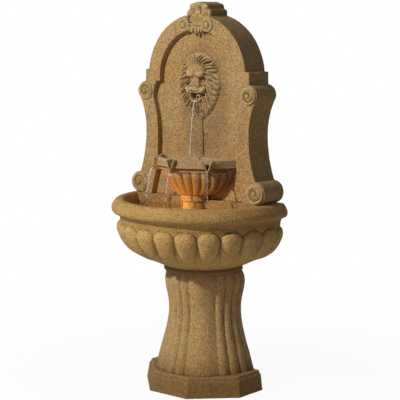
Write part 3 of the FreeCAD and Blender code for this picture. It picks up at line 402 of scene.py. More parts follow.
def lock(heights, x, z, start, heading, size, bend, sunk=0.35):
    """Lays one curved lock over the heights; size is its length, half width, root and tip height."""
    long, half, root, tip = size
    t = np.linspace(0, 1, LOCK_STEPS)
    angle = np.radians(heading + bend * (t ** 1.5 - 0.25 * t))
    px = start[0] + np.cumsum(np.sin(angle)) * long / LOCK_STEPS
    pz = start[1] + np.cumsum(np.cos(angle)) * long / LOCK_STEPS
    near = ((x > px.min() - half) & (x < px.max() + half) & (z > pz.min() - half) & (z < pz.max() + half))
    gx = x[near][:, None] - px
    gz = z[near][:, None] - pz
    away = np.hypot(gx, gz)
    best = away.argmin(axis=1)
    rows = np.arange(len(best))
    width = half * (1 - LOCK_TAPER * t[best] ** 1.8)
    side = (gx[rows, best] * np.cos(angle[best]) - gz[rows, best] * np.sin(angle[best])) / width
    far = away[rows, best] / width
    crown = np.sqrt(np.maximum(1 - far ** 2, 0))
    strands = 1 - STRAND_DEPTH * np.sin(math.pi * side) ** 2
    lift = 1 - sunk * np.cos(math.pi * t[best]) ** 2
    ridge = (root + (tip - root) * t[best]) * lift * (LOCK_EDGE + (1 - LOCK_EDGE) * crown * strands)
    heights[near] = np.maximum(heights[near], np.where(far < 1, ridge, BURIED))


# The mane's oval, and its layers from the rim inwards: number of locks, half width, half height and middle,
# then a lock's length, half width, root height and tip height
MANE_HALF = (88, 113)
MANE_MIDDLE = 3
MANE_LAYERS = ((30, 60, 84, 0, 56, 7.0, 25, 9), (25, 50, 73, 2, 54, 7.5, 33, 15),
               (19, 44, 62, 5, 42, 7.5, 39, 25))
# Heading of a lock by its place round the mane, in degrees from the top
MANE_FALL = ((0, 25, 50, 75, 100, 130, 155, 180), (36, 76, 112, 136, 146, 157, 168, 178))
MANE_BENDS = (-75, -50, -25, 35)
# Place, heading and bend of each lock above the brow
TUFT = ((-38, -78, -40), (38, 78, 40), (-31, -60, -85), (31, 60, 85), (-24, -46, -90), (24, 46, 70),
        (-17, -34, -60), (17, 34, 95), (-10, -22, -90), (10, 20, 60), (-4, -10, -70), (3, 8, 80))
TUFT_SIZE = (36, 6.5, 36, 25)
# Place and bend of each lock of the beard
BEARD = ((-27, 25), (27, -30), (-17, 40), (18, -35), (-7, -20), (7, 20))
LION_SEED = 5
LION_SHIFT = 3
SIDES = (-1, 1)


def lay_mane(heights, x, z):
    """Lays layers of locks that part above the brow and fall to both sides."""
    chance = np.random.default_rng(LION_SEED)
    for count, wide, tall, middle, long, half, root, tip in MANE_LAYERS:
        for step in range(count):
            angle = (step + 0.5) * 360 / count - 180
            side = 1 if angle > 0 else -1
            turn = math.radians(angle)
            low = max(0.0, -math.cos(turn))
            start = ((wide - 14 * low) * math.sin(turn) + chance.uniform(-2, 2),
                     middle + (tall - 4 * low) * math.cos(turn) + chance.uniform(-2, 2))
            heading = side * np.interp(abs(angle), *MANE_FALL) + chance.uniform(-9, 9)
            bend = side * chance.choice(MANE_BENDS)
            size = (long * (1 - 0.3 * low) + chance.uniform(-5, 6), half * chance.uniform(0.85, 1.15),
                    root + chance.uniform(-4, 4), tip)
            lock(heights, x, z, start, heading, size, bend)
    for place, heading, bend in TUFT:
        lock(heights, x, z, (place, 79 - 0.010 * place ** 2), heading, TUFT_SIZE, bend, 0.0)


def mane_heights(x, z):
    """The mane on its ground, an oval that narrows towards the beard, with a hollow beside each temple."""
    narrow = 1 - 0.22 * np.clip(-z / 110, 0, 1)
    rim = 1 - (x / narrow / MANE_HALF[0]) ** 2 - ((z - MANE_MIDDLE) / MANE_HALF[1]) ** 2
    ground = pad(x / narrow, z, (0, MANE_MIDDLE), MANE_HALF, 3, 10)
    heights = blend(ground, pad(x, z, (0, 92), (50, 22), 6, 21), 4)
    lay_mane(heights, x, z)
    heights = np.where(rim > 0, heights * (0.45 + 0.55 * np.sqrt(np.clip(rim / 0.14, 0, 1))), BURIED)
    for side in SIDES:
        heights = heights - dent(x, z, (side * 45, 80), (9, 7), 13)
    return heights


def face_heights(x, z):
    """Eyes, the bridge of the nose, the brow over them, the upper lips and the nose."""
    face = dome(x, z, (0, 12), (43, 57), 27)
    for side in SIDES:
        hollow = dent(x, z, (side * 27, 24), (14, 8), 22, side * 4)
        eye = dome(x, z, (side * 27, 22), (6, 3), 19, side * 4)
        face = np.maximum(face - hollow, eye)
    down = np.clip((34 - z) / 44, 0, 1)
    half = 13 + 13 * down
    bridge = np.where((np.abs(x) < half) & (z > -14) & (z < 44),
                      31 + 12 * down - 10 * (np.abs(x) / half) ** 2.5, BURIED)
    face = blend(face, blurred(bridge, 3), 4)
    brow = pad(x, z, (0, 56), (40, 26), 19, 38)
    for side in SIDES:
        brow = blend(brow, pad(x, z, (side * 19, 46), (20, 14), 24, 40, side * 8), 6)
    face = np.maximum(face, brow)
    for side in SIDES:
        lip = pad(x, z, (side * 20, -14), (25, 13), 25, 41, side * 28)
        face = blend(face, lip, 6)
    nose = pad(x, z, (0, -8), (22, 12), 36, 48)
    face = blend(face, nose, 5) - dent(x, z, (0, -17), (2.6, 7), 8)
    for side in SIDES:
        face = face - dent(x, z, (side * 12, -15), (6, 2.2), 5, side * -25)
    return face


def lion_heights(x, z):
    """The lion's head: mane, face, open mouth with its lower lip and fangs, chin and beard."""
    x = x - MASK_X / MM + LION_SHIFT
    z = z - MASK_Z / MM
    heights = np.maximum(mane_heights(x, z), face_heights(x, z))
    jaws = np.hypot(x / 33, (z + 36 - 0.0125 * x ** 2) / 14)
    heights = heights + (3 - heights) * np.clip((1 - jaws) / 0.16, 0, 1)
    chin = pad(x, z, (0, -56), (17, 9), 18, 27)
    lip = np.abs(z + 50 - 0.020 * x ** 2) / 4.5
    lower = np.where((lip < 1) & (np.abs(x) < 28), 28 + 4 * np.sqrt(np.maximum(1 - lip ** 2, 0)), BURIED)
    heights = np.maximum(np.maximum(heights, chin), lower - 0.007 * x ** 2)
    for side in SIDES:
        heights = np.maximum(heights, dome(x, z, (side * 20, -27), (3.4, 9), 32))
    for place, bend in BEARD:
        size = (54 - 0.7 * abs(place), 7, 30, 13)
        lock(heights, x, z, (place, -54 + 0.012 * place ** 2), 180 - place * 0.3, size, bend)
    return blurred(heights, 1)


# Scrolls on ears and feet: turns of the band, its start, its low and high places, radius of its eye
SCROLL_TURNS = 1.6
SCROLL_START = math.radians(90)
SCROLL_LOW = 3.2
SCROLL_HIGH = 8.5
SCROLL_EYE = 8


def spiral_heights(x, z, middle, radius, hand):
    """A scroll: a rounded band that winds in to a round eye."""
    far = np.hypot(x - middle[0], z - middle[1])
    angle = np.arctan2(z - middle[1], x - middle[0]) * hand + SCROLL_START
    wind = far / radius * SCROLL_TURNS - angle / (2 * math.pi)
    band = np.abs(wind - np.floor(wind) - 0.5) * 2
    heights = SCROLL_LOW + (SCROLL_HIGH - SCROLL_LOW) * np.sqrt(np.maximum(1 - band ** 2.4, 0))
    edge = np.clip((radius - far) / 2.5, 0, 1)
    heights = np.where(far < radius, heights * np.sqrt(edge), BURIED)
    return np.maximum(heights, dome(x, z, middle, (SCROLL_EYE, SCROLL_EYE), SCROLL_HIGH + 3))


# The crest: volutes, the bar between them, and the place and length of each drop below it
VOLUTE_X = 51
VOLUTE_Z = 1247
VOLUTE_RADIUS = 25
BAR_HALF = 32
BAR_LOW = 1236.5
BAR_HIGH = 1253
BAR_GROOVE = 1244.0
DROP_TOP = 1238
CREST_DROPS = ((-28, 15), (-14, 20), (1, 31), (15, 21), (28, 15))


def crest_heights(x, z):
    """The lower crest: two volutes, and a grooved bar with pointed drops."""
    heights = np.full_like(x, BURIED)
    for side in SIDES:
        middle = (side * VOLUTE_X, VOLUTE_Z)
        far = np.hypot(x - middle[0], z - middle[1])
        ring = 5.5 + 1.2 * np.exp(-((far - 20) / 4.0) ** 2)
        edge = np.sqrt(np.clip((VOLUTE_RADIUS - far) / 3, 0, 1))
        ring = np.where(far < VOLUTE_RADIUS, ring * edge, BURIED)
        heights = np.maximum(heights, np.maximum(ring, pad(x, z, middle, (10, 10), 5.5, 10.5)))
    bar = np.where((np.abs(x) < BAR_HALF) & (z > BAR_LOW) & (z < BAR_HIGH), 4.0, BURIED)
    heights = np.maximum(heights, bar - 6 * np.exp(-((z - BAR_GROOVE) / 2.2) ** 2))
    for place, drop in CREST_DROPS:
        depth = (DROP_TOP - z) / drop
        half = 7 * np.maximum(1 - depth, 0) ** 0.6 + 0.01
        crown = np.sqrt(np.maximum(1 - ((x - place) / half) ** 2, 0))
        hanging = np.where((depth > 0) & (depth < 1) & (crown > 0), 1 + 4 * crown, BURIED)
        heights = np.maximum(heights, hanging)
    return blurred(heights, 1)


def palmette_heights(x, z):
    """The petals of the crest: round lobes, two curled bosses, a tongue and the boss at their foot."""
    x = np.abs(x)
    curl = dome(x, z, (29, 1288), (14, 15), 7.5) - dent(x, z, (29, 1288), (5, 5), 3)
    lobes = [dome(x, z, (44, 1283), (8, 12), 4), dome(x, z, (27, 1308), (13, 10), 4.5),
             dome(x, z, (0, 1313), (16, 9), 6)]
    tongue = pad(x, z, (0, 1280), (13, 28), 2, 9)
    foot = pad(x, z, (0, 1266), (37, 19), 4, 11)
    return blurred(np.maximum.reduce(lobes + [curl, tongue, foot]), 1)


# Surfaces

def feed(tree, place, value):
    """Links a socket to a node's input, or sets the input to a plain value."""
    if isinstance(value, bpy.types.NodeSocket):
        tree.links.new(value, place)
    else:
        place.default_value = value


def fill(tree, made, **values):
    """Sets a node's inputs and settings; an underscore stands for a space in an input's name."""
    for key, value in values.items():
        place = made.inputs.get(key.replace("_", " "))
        if place is None:
            setattr(made, key, value)
        else:
            feed(tree, place, value)
    return made


def node(tree, kind, **values):
    """A new shader node with its inputs and settings."""
    return fill(tree, tree.nodes.new(kind), **values)


def ramp(tree, factor, low, high):
    """Spreads the part of a value between two limits over zero to one."""
    made = node(tree, "ShaderNodeMapRange", interpolation_type="SMOOTHSTEP", From_Min=low, From_Max=high,
                Value=factor)
    return made.outputs["Result"]


def mixed(tree, factor, first, second, kind="MIX"):
    """Mixes two colours by a factor; each is a socket or a plain colour."""
    made = node(tree, "ShaderNodeMix", data_type="RGBA", blend_type=kind)
    for name, value in (("Factor", factor), ("A", first), ("B", second)):
        place = next(spot for spot in made.inputs if spot.name == name and spot.enabled)
        plain = name != "Factor" and not isinstance(value, bpy.types.NodeSocket)
        feed(tree, place, (*value, 1.0) if plain else value)
    return next(spot for spot in made.outputs if spot.enabled)


def shaded(tree, factor, body, shade):
    """Multiplies a colour by a shade where the factor is one."""
    return mixed(tree, factor, body, mixed(tree, 1.0, body, shade, "MULTIPLY"))


def maths(tree, kind, first, second):
    """The result of a sum; each part is a socket or a number."""
    made = node(tree, "ShaderNodeMath", operation=kind)
    for place, value in zip(made.inputs, (first, second)):
        feed(tree, place, value)
    return made.outputs[0]


def times(tree, first, second):
    """The product of two values."""
    return maths(tree, "MULTIPLY", first, second)


def surface_place(tree):
    """The place on the object."""
    return tree.nodes.new("ShaderNodeTexCoord").outputs["Object"]


def noise(tree, where, scale, detail, rough=0.55):
    """Cloudy noise."""
    made = node(tree, "ShaderNodeTexNoise", Vector=where, Scale=scale, Detail=detail, Roughness=rough)
    return made.outputs[0]


def blots(tree, where):
    """The stone's stains, a few centimetres wide."""
    return noise(tree, where, 31.0, 5.0, 0.65)


def away(tree, where):
    """Distance from the origin."""
    return node(tree, "ShaderNodeVectorMath", operation="LENGTH", Vector=where).outputs["Value"]


def height_of(tree, where, waver=0.0):
    """Height above the floor, which may waver with the stains."""
    height = node(tree, "ShaderNodeSeparateXYZ", Vector=where).outputs["Z"]
    return maths(tree, "ADD", height, times(tree, blots(tree, where), waver)) if waver else height


def new_group(name, inputs, outputs):
    """A new node group with the sockets at its start and at its end; a tuple makes a colour socket."""
    tree = bpy.data.node_groups.new(name, "ShaderNodeTree")
    for way, sockets in (("INPUT", inputs), ("OUTPUT", outputs)):
        for label, value in sockets.items():
            kind = "NodeSocketColor" if isinstance(value, tuple) else "NodeSocketFloat"
            tree.interface.new_socket(name=label, in_out=way, socket_type=kind).default_value = value
    return tree, tree.nodes.new("NodeGroupInput").outputs, tree.nodes.new("NodeGroupOutput").inputs


# Scale of the pits against that of the grain
PIT_SCALE = 0.45
# Shades of the dark and the light grains, of dirt and painted shade, and of wet stone, which multiply the
# stone's colour
GRAIN_SHADES = ((0.38, 0.37, 0.33), (1.56, 1.56, 1.54))
DIRT_AND_PAINTED_SHADE = (0.51, 0.48, 0.42)
WET_SHADE = (0.84, 0.71, 0.44)
# Dust in the hollows of the fittings
DUST = (0.03, 0.025, 0.02)


@once("node_groups")
def grain_group(name):
    """Fine speckle and pits, shared by the stone and the fittings."""
    outputs = {"Speckle": 0.0, "Pits": 0.0, "Height": 0.0}
    tree, start, end = new_group(name, {"Scale": 280.0}, outputs)
    where = surface_place(tree)
    speckle = noise(tree, where, start["Scale"], 3.0, 0.7)
    cells = node(tree, "ShaderNodeTexVoronoi", Vector=where, Scale=times(tree, start["Scale"], PIT_SCALE))
    pits = ramp(tree, cells.outputs["Distance"], 0.26, 0.08)
    feed(tree, end["Speckle"], ramp(tree, speckle, 0.25, 0.75))
    feed(tree, end["Pits"], pits)
    feed(tree, end["Height"], maths(tree, "SUBTRACT", speckle, pits))
    return tree


@once("node_groups")
def wear_group(name):
    """Masks for worn edges and for dust in hollows, shared by the fittings."""
    tree, _, end = new_group(name, {}, {"Edges": 0.0, "Hollows": 0.0})
    bend = tree.nodes.new("ShaderNodeNewGeometry").outputs["Pointiness"]
    feed(tree, end["Edges"], ramp(tree, bend, 0.515, 0.575))
    feed(tree, end["Hollows"], ramp(tree, bend, 0.492, 0.435))
    return tree


@once("node_groups")
def stone_group(name):
    """Cast sandstone: patches, edges lightened as painted highlight with wear, hollows darkened as painted
    shade with dirt, and grain, shared by all the stone.
    """
    stone = settings().stone
    # Light Edges and Dark Hollows set how much painted highlight and painted shade the stone takes; Dirt also
    # carries painted shade
    inputs = {"Tint": (1.0, 1.0, 1.0, 1.0), "Light Edges": 0.45, "Dark Hollows": 0.72, "Relief": 1.0,
              "Dirt": 0.0, "Wet": 0.0}
    outputs = {"Color": (0.0, 0.0, 0.0, 1.0), "Roughness": 0.0, "Height": 0.0}
    tree, start, end = new_group(name, inputs, outputs)
    where = surface_place(tree)
    grain = node(tree, "ShaderNodeGroup", node_tree=grain_group("fine_grain"), Scale=1 / stone.grain).outputs
    depth = node(tree, "ShaderNodeAttribute", attribute_name="hollow").outputs["Fac"]
    hollow = times(tree, depth, start["Relief"])
    patches = ramp(tree, noise(tree, where, 7.0, 4.0), 0.40, 0.66)
    body = mixed(tree, patches, stone.light, stone.warm)
    stains = times(tree, ramp(tree, blots(tree, where), 0.45, 0.75), 0.55)
    body = mixed(tree, stains, body, stone.green)
    body = mixed(tree, 1.0, body, start["Tint"], "MULTIPLY")
    # Crests take the worn colour as painted highlight with wear, and hollows the soil colour as painted shade
    # with dirt
    edges = times(tree, ramp(tree, hollow, -0.12, -0.85), start["Light Edges"])
    body = mixed(tree, edges, body, stone.worn)
    hollows = times(tree, ramp(tree, hollow, 0.10, 0.85), start["Dark Hollows"])
    body = mixed(tree, hollows, body, stone.soil_and_shade)
    body = mixed(tree, times(tree, grain["Pits"], 0.35), body, stone.soil_and_shade)
    body = mixed(tree, 1.0, body, mixed(tree, grain["Speckle"], *GRAIN_SHADES), "MULTIPLY")
    # The Dirt input carries dirt on the lion's muzzle, painted shade on the basin, painted shade with dirt
    # round the lion, and darkening towards the pedestal's foot
    body = shaded(tree, start["Dirt"], body, DIRT_AND_PAINTED_SHADE)
    body = shaded(tree, start["Wet"], body, WET_SHADE)
    rough = ramp(tree, grain["Speckle"], -2.5, 1.2)
    feed(tree, end["Color"], body)
    feed(tree, end["Roughness"], maths(tree, "SUBTRACT", rough, times(tree, start["Wet"], 0.25)))
    feed(tree, end["Height"], grain["Height"])
    return tree


# Dirt, painted shade, darkening and wet stone; heights, places and half sizes are in metres

def darker_towards_bottom(tree, where):
    """Darker towards the bottom: none above about 17 centimetres, full below about 6."""
    return ramp(tree, height_of(tree, where, 0.05), 0.17, 0.06)


def basin_painted_shade(tree, where):
    """Painted shade on the basin: full in the joint at its foot under the belly, less on its neck under the
    rim, and less still on the rim.
    """
    height = height_of(tree, where, 0.02)
    neck = times(tree, ramp(tree, height, 0.582, 0.596), 0.45)
    rim = times(tree, ramp(tree, height, 0.616, 0.630), 0.15)
    return maths(tree, "ADD", ramp(tree, height, 0.452, 0.436), maths(tree, "SUBTRACT", neck, rim))


def oval_dirt(tree, where, middle, half, limits, share):
    """Dirt in a soft oval; limits are where it starts and where it is full, counted in half sizes."""
    shift = node(tree, "ShaderNodeMapping", vector_type="TEXTURE", Vector=where, Location=middle, Scale=half)
    return times(tree, ramp(tree, away(tree, shift.outputs[0]), *limits), share)


def lion_shade_and_dirt(tree, where):
    """Painted shade with dirt: a soft dark edge round the lion mask and below it."""
    middle = (MASK_X + 0.012, NICHE_FLOOR_Y, MASK_Z - 0.045)
    return oval_dirt(tree, where, middle, (0.088, 0.060, 0.165), (1.40, 0.92), 0.55)


def muzzle_dirt(tree, where):
    """The lion's nose, mouth and chin, darkened by spray."""
    middle = (MASK_X - 0.003, NICHE_FLOOR_Y - 0.035, MASK_Z - 0.022)
    return oval_dirt(tree, where, middle, (0.036, 0.070, 0.058), (1.25, 0.55), 0.42)


def bowl_body_darker(tree, where):
    """The upper bowl's body up to its rim, given the wet stone's darker, more orange colour and smoother
    surface.
    """
    return ramp(tree, height_of(tree, where), 0.744, 0.736)


# Steps of the pool's wall: from one height to another, the radius at the first and at the second; they add up
POOL_LIMITS = ((0.478, 0.500, 0.2185, 0.247), (0.500, 0.605, 0.0, 0.035))
POOL_FLOOR_Z = 0.478


def pool_wet(tree, where):
    """The stone inside the pool, wet below the water line."""
    waterline = settings().water.basin_level
    x, y, height = node(tree, "ShaderNodeSeparateXYZ", Vector=where).outputs
    flat = node(tree, "ShaderNodeCombineXYZ", X=x, Y=maths(tree, "SUBTRACT", y, BASIN_AXIS_Y))
    limit = 0.0
    for low, high, start, end in POOL_LIMITS:
        span = node(tree, "ShaderNodeMapRange", From_Min=low, From_Max=high, To_Min=start, To_Max=end,
                    Value=height)
        limit = maths(tree, "ADD", limit, span.outputs["Result"])
    inside = ramp(tree, maths(tree, "SUBTRACT", limit, away(tree, flat.outputs[0])), -0.002, 0.002)
    below = ramp(tree, height, waterline + 0.012, waterline - 0.004)
    above = ramp(tree, height, POOL_FLOOR_Z - 0.004, POOL_FLOOR_Z)
    return times(tree, times(tree, inside, below), above)


# Materials

def bare_material(name):
    """A new material with its node tree and its shader."""
    made = bpy.data.materials.new(name)
    made.use_nodes = True
    tree = made.node_tree
    return made, tree, tree.nodes["Principled BSDF"]


def bumped(tree, shader, height, depth):
    """Gives a shader a fine relief."""
    bump = node(tree, "ShaderNodeBump", Distance=depth, Strength=1.0, Height=height)
    feed(tree, shader.inputs["Normal"], bump.outputs["Normal"])


# Tint, light edges (painted highlight and wear), dark hollows (painted shade and dirt), gain of both, and
# masks of each stone
STONES = {
    # The pedestal's and the basin's brighter tints are painted light, and the ears' darker tint is painted
    # shade with dirt
    "pedestal_sandstone": ((1.20, 1.20, 1.14), 0.5, 0.80, 1.35, {"Dirt": darker_towards_bottom}),
    "basin_sandstone": ((1.34, 1.31, 1.06), 0.3, 0.42, 1.0, {"Wet": pool_wet, "Dirt": basin_painted_shade}),
    "panel_sandstone": ((1.0, 1.0, 1.0), 0.45, 0.5, 1.0, {"Dirt": lion_shade_and_dirt}),
    "scroll_sandstone": ((0.84, 0.84, 0.73), 0.5, 0.48, 1.0, {}),
    "ear_sandstone": ((0.80, 0.81, 0.66), 0.5, 0.85, 1.0, {}),
    "carved_sandstone": ((1.0, 1.0, 0.92), 0.8, 0.40, 1.0, {"Dirt": muzzle_dirt}),
    "bowl_sandstone": ((1.06, 1.16, 1.36), 0.3, 0.68, 1.5, {"Wet": bowl_body_darker}),
}


@once("materials")
def stone_material(name):
    """Cast sandstone with its own tint, edges, hollows and masks."""
    tint, edges, hollows, gain, masks = STONES[name]
    made, tree, shader = bare_material(name)
    where = surface_place(tree)
    stone = node(tree, "ShaderNodeGroup", node_tree=stone_group("cast_stone"), Tint=(*tint, 1.0),
                 Light_Edges=edges, Dark_Hollows=hollows, Relief=gain)
    for place, mask in masks.items():
        feed(tree, stone.inputs[place], mask(tree, where))
    fill(tree, shader, Base_Color=stone.outputs["Color"], Roughness=stone.outputs["Roughness"],
         Specular_IOR_Level=0.25)
    bumped(tree, shader, stone.outputs["Height"], settings().stone.relief)
    return made


@once("materials")
def worked_material(name, tone, worn, metallic, roughness, scale, depth, coat=0.0):
    """Metal or plastic with worn edges, dust in hollows and a fine surface grain."""
    made, tree, shader = bare_material(name)
    grain = node(tree, "ShaderNodeGroup", node_tree=grain_group("fine_grain"), Scale=scale)
    wear = node(tree, "ShaderNodeGroup", node_tree=wear_group("edge_wear")).outputs
    stain = noise(tree, surface_place(tree), 60.0, 4.0)
    body = mixed(tree, ramp(tree, stain, 0.35, 0.75), tone, tuple(0.72 * part for part in tone))
    body = mixed(tree, wear["Edges"], body, worn)
    body = mixed(tree, times(tree, wear["Hollows"], 0.6), body, DUST)
    rough = maths(tree, "ADD", roughness, times(tree, ramp(tree, stain, 0.3, 0.8), 0.15))
    fill(tree, shader, Base_Color=body, Roughness=rough, Metallic=metallic, Coat_Weight=coat)
    bumped(tree, shader, grain.outputs["Height"], depth)
    return made


@once("materials")
def clear_material(name, tint, ior, roughness, ripple_scale, depth):
    """Clear water or vinyl with a gently uneven surface."""
    made, tree, shader = bare_material(name)
    waves = noise(tree, surface_place(tree), ripple_scale, 3.0)
    body = mixed(tree, waves, tint, tuple(0.9 * part for part in tint))
    fill(tree, shader, Base_Color=body, Roughness=roughness, Transmission_Weight=1.0, IOR=ior)
    bumped(tree, shader, waves, depth)
    return made


def lens_material():
    """Ribbed lamp glass lit from behind."""
    made, tree, shader = bare_material("lens_glass")
    ribs = node(tree, "ShaderNodeTexWave", Vector=surface_place(tree), Scale=90.0, Distortion=0.0)
    glow = mixed(tree, ribs.outputs["Fac"], settings().lamp.glow, (1.0, 0.72, 0.38))
    fill(tree, shader, Emission_Color=glow, Base_Color=glow, Emission_Strength=1.0, Roughness=0.12)
    bumped(tree, shader, ribs.outputs["Fac"], 0.0006)
    return made


# Pieces

def placed_stone(piece, look, *nodes):
    """Gives a finished stone piece its look and its place."""
    placed(piece, stone_material(look), "stone", STATIC_BODY, *nodes)


class FOUNTAIN_OT_pedestal(bpy.types.Operator):
    """Octagonal plinth and reeded column in worn cast stone."""
    bl_idname = "fountain.pedestal"
    bl_label = "Pedestal"

    def execute(self, context):
        piece = softened_copy("pedestal", "pedestal_stone", cell=0.0020, keep=0.40, rounds=1)
        placed_stone(piece, "pedestal_sandstone", "pedestal")
        return {"FINISHED"}


# The basin's outlines as radius and height, from below
FOOT = ((0.1330, 0.4080), (0.1365, 0.4120), (0.1375, 0.4170), (0.1365, 0.4220), (0.1345, 0.4265))
BELLY = ((0.1370, 0.4285), (0.1830, 0.4520), (0.2130, 0.4650), (0.2430, 0.4870), (0.2605, 0.5090),
         (0.2715, 0.5300), (0.2780, 0.5500), (0.2825, 0.5680), (0.2855, 0.5790))
NECK = ((0.2885, 0.5850), (0.2885, 0.5930), (0.2920, 0.6020), (0.2990, 0.6075), (0.3080, 0.6115),
        (0.3145, 0.6170), (0.3170, 0.6250), (0.3155, 0.6350), (0.3105, 0.6440), (0.3045, 0.6530),
        (0.2985, 0.6570), (0.2920, 0.6580))
RIM_INSIDE = (0.150, 0.6580)
POOL = ((0.2060, 0.4780), (0.2280, 0.4880), (0.2400, 0.5000), (0.2530, 0.5340), (0.2620, 0.5680),
        (0.2675, 0.6050), (0.2700, 0.6340), (0.2725, 0.6480), (0.2770, 0.6555), (0.2840, 0.6600))
POOL_ABOVE = (0.284, 0.70)
# The gadroons: number, turn, swell, and by height their rise and the share of the spacing that they fill
GADROONS = 23
GADROON_TURN = math.radians(4 + 180 / GADROONS)
GADROON_SWELL = 1.22
GADROON_RISES = ((0.428, 0.0015), (0.452, 0.006), (0.465, 0.0095), (0.487, 0.0135), (0.509, 0.0155),
                 (0.530, 0.0170), (0.546, 0.0180))
GADROON_WIDTHS = ((0.428, 0.30), (0.450, 0.45), (0.480, 0.68), (0.520, 0.90), (0.548, 1.0))
GADROON_SHOULDER_Z = 0.5440
GADROON_TOP_Z = 0.5800
STEPS_PER_GADROON = 20
POOL_STEPS = 144


class FOUNTAIN_OT_basin(bpy.types.Operator):
    """Basin with pillowed gadroons, a rolled rim and an open pool."""
    bl_idname = "fountain.basin"
    bl_label = "Basin"

    def execute(self, context):
        profile = np.vstack([curve_through(FOOT, 3), curve_through(BELLY, 8), curve_through(NECK, 4),
                             [RIM_INSIDE]])
        angles = np.linspace(0, 2 * math.pi, GADROONS * STEPS_PER_GADROON, endpoint=False)
        piece = ringed("basin_stone", turned_rings(profile, angles, self.pillows(profile[:, 1:], angles)))
        pool = np.vstack([curve_through(POOL, 5), [POOL_ABOVE]])
        around = np.linspace(0, 2 * math.pi, POOL_STEPS, endpoint=False)
        cutter = ringed("pool_space", turned_rings(pool, around))
        cut_flat(cutter, (0, PANEL_FRONT_Y, 0), (0, 1, 0))
        cut_flat(piece, (0, WALL_Y, 0), (0, 1, 0))
        carve(piece, cutter)
        uneven(piece)
        settle(piece)
        placed_stone(piece, "basin_sandstone", "basin")
        piece.data.set_sharp_from_angle(angle=math.radians(50))
        return {"FINISHED"}

    def pillows(self, height, angles):
        """How far the gadroons stand out from the belly, by height and angle."""
        across = np.abs(((angles - GADROON_TURN) * GADROONS / (2 * math.pi) + 0.5) % 1 - 0.5) * 2
        rise = np.interp(height, *np.array(GADROON_RISES).T, left=0.0)
        share = np.interp(height, *np.array(GADROON_WIDTHS).T)
        top = np.clip((height - GADROON_SHOULDER_Z) / (GADROON_TOP_Z - GADROON_SHOULDER_Z), 0, 1)
        pillow = np.sqrt(np.clip(1 - (across / share) ** 2.1 - top ** 2.2, 0, 1))
        return rise * pillow * GADROON_SWELL


# Spacing of the carvings' points, and how deep the crest and the other carvings are sunk in the panel
CARVING_CELL = 0.0012
CREST_SUNK = 0.010
SHALLOW_SUNK = 0.003
# Low and high corners of the crest and of its petals, x and z
CREST_AREA = ((-0.080, 1.205), (0.080, 1.275))
PETAL_AREA = ((-0.056, 1.248), (0.056, 1.324))
# Name, middle, radius, hand and stone of each scroll, in millimetres
SCROLLS = (("ear_left", (-226, 1018), 31, -1, "ear_sandstone"),
           ("ear_right", (226, 1018), 31, 1, "ear_sandstone"),
           ("foot_left", (-256, 696), 35, -1, "scroll_sandstone"),
           ("foot_right", (256, 696), 35, 1, "scroll_sandstone"))
SCROLL_MARGIN = 2


class FOUNTAIN_OT_panel(bpy.types.Operator):
    """Back panel with its niche, crest carving and ear and foot scrolls."""
    bl_idname = "fountain.panel"
    bl_label = "Back panel"

    def execute(self, context):
        piece = softened_copy("back_panel", "back_panel_stone", cell=0.0024, keep=0.34, rounds=1)
        self.flatten_crest(piece)
        placed_stone(piece, "panel_sandstone", "back_panel")
        crest = relief("crest_carving", *CREST_AREA, CARVING_CELL, PANEL_FRONT_Y, CREST_SUNK,
                       crest_heights)
        placed_stone(crest, "scroll_sandstone")
        petals = relief("crest_petals", *PETAL_AREA, CARVING_CELL, CREST_FACE_Y, SHALLOW_SUNK,
                        palmette_heights)
        placed_stone(petals, "scroll_sandstone")
        for name, middle, radius, hand, look in SCROLLS:
            reach = radius + SCROLL_MARGIN
            low = tuple((place - reach) * MM for place in middle)
            high = tuple((place + reach) * MM for place in middle)
            scroll = relief(name + "_scroll", low, high, CARVING_CELL, PANEL_FRONT_Y, SHALLOW_SUNK,
                            lambda x, z: spiral_heights(x, z, middle, radius, hand))
            placed_stone(scroll, look)
        return {"FINISHED"}

    def flatten_crest(self, piece):
        """Levels the ground under the crest carving, which is laid on as its own piece."""
        places = read(piece.data.vertices, "co", 3)
        x, y, z = places.T
        (left, low), (right, high) = CREST_AREA
        proud = (x > left) & (x < right) & (z > low) & (z < high) & (y < PANEL_FRONT_Y)
        places[proud, 1] = PANEL_FRONT_Y
        piece.data.vertices.foreach_set("co", places.ravel())
        piece.data.update()


# Low and high corners of the lion, x and z, the spacing of its points and how deep it is sunk in the niche
LION_AREA = ((MASK_X - 0.098, MASK_Z - 0.118), (MASK_X + 0.098, MASK_Z + 0.118))
LION_CELL = 0.0011
LION_SUNK = 0.002


class FOUNTAIN_OT_lion(bpy.types.Operator):
    """Carved lion's head with an open mouth, set in the niche."""
    bl_idname = "fountain.lion"
    bl_label = "Lion mask"

    def execute(self, context):
        piece = relief("lion_carving", *LION_AREA, LION_CELL, NICHE_FLOOR_Y, LION_SUNK, lion_heights)
        placed_stone(piece, "carved_sandstone", "lion_mask")
        return {"FINISHED"}


class FOUNTAIN_OT_bowl(bpy.types.Operator):
    """Fluted upper bowl with a faceted rim, and the stand under it."""
    bl_idname = "fountain.bowl"
    bl_label = "Upper bowl and stand"

    def execute(self, context):
        bowl = softened_copy("upper_bowl", "upper_bowl_stone", cell=0.0015, keep=0.50, rounds=2)
        placed_stone(bowl, "bowl_sandstone", "upper_bowl")
        stand = softened_copy("bowl_stand", "bowl_stand_stone", cell=0.0018, keep=0.50, rounds=3)
        placed_stone(stand, "basin_sandstone", "bowl_stand")
        return {"FINISHED"}


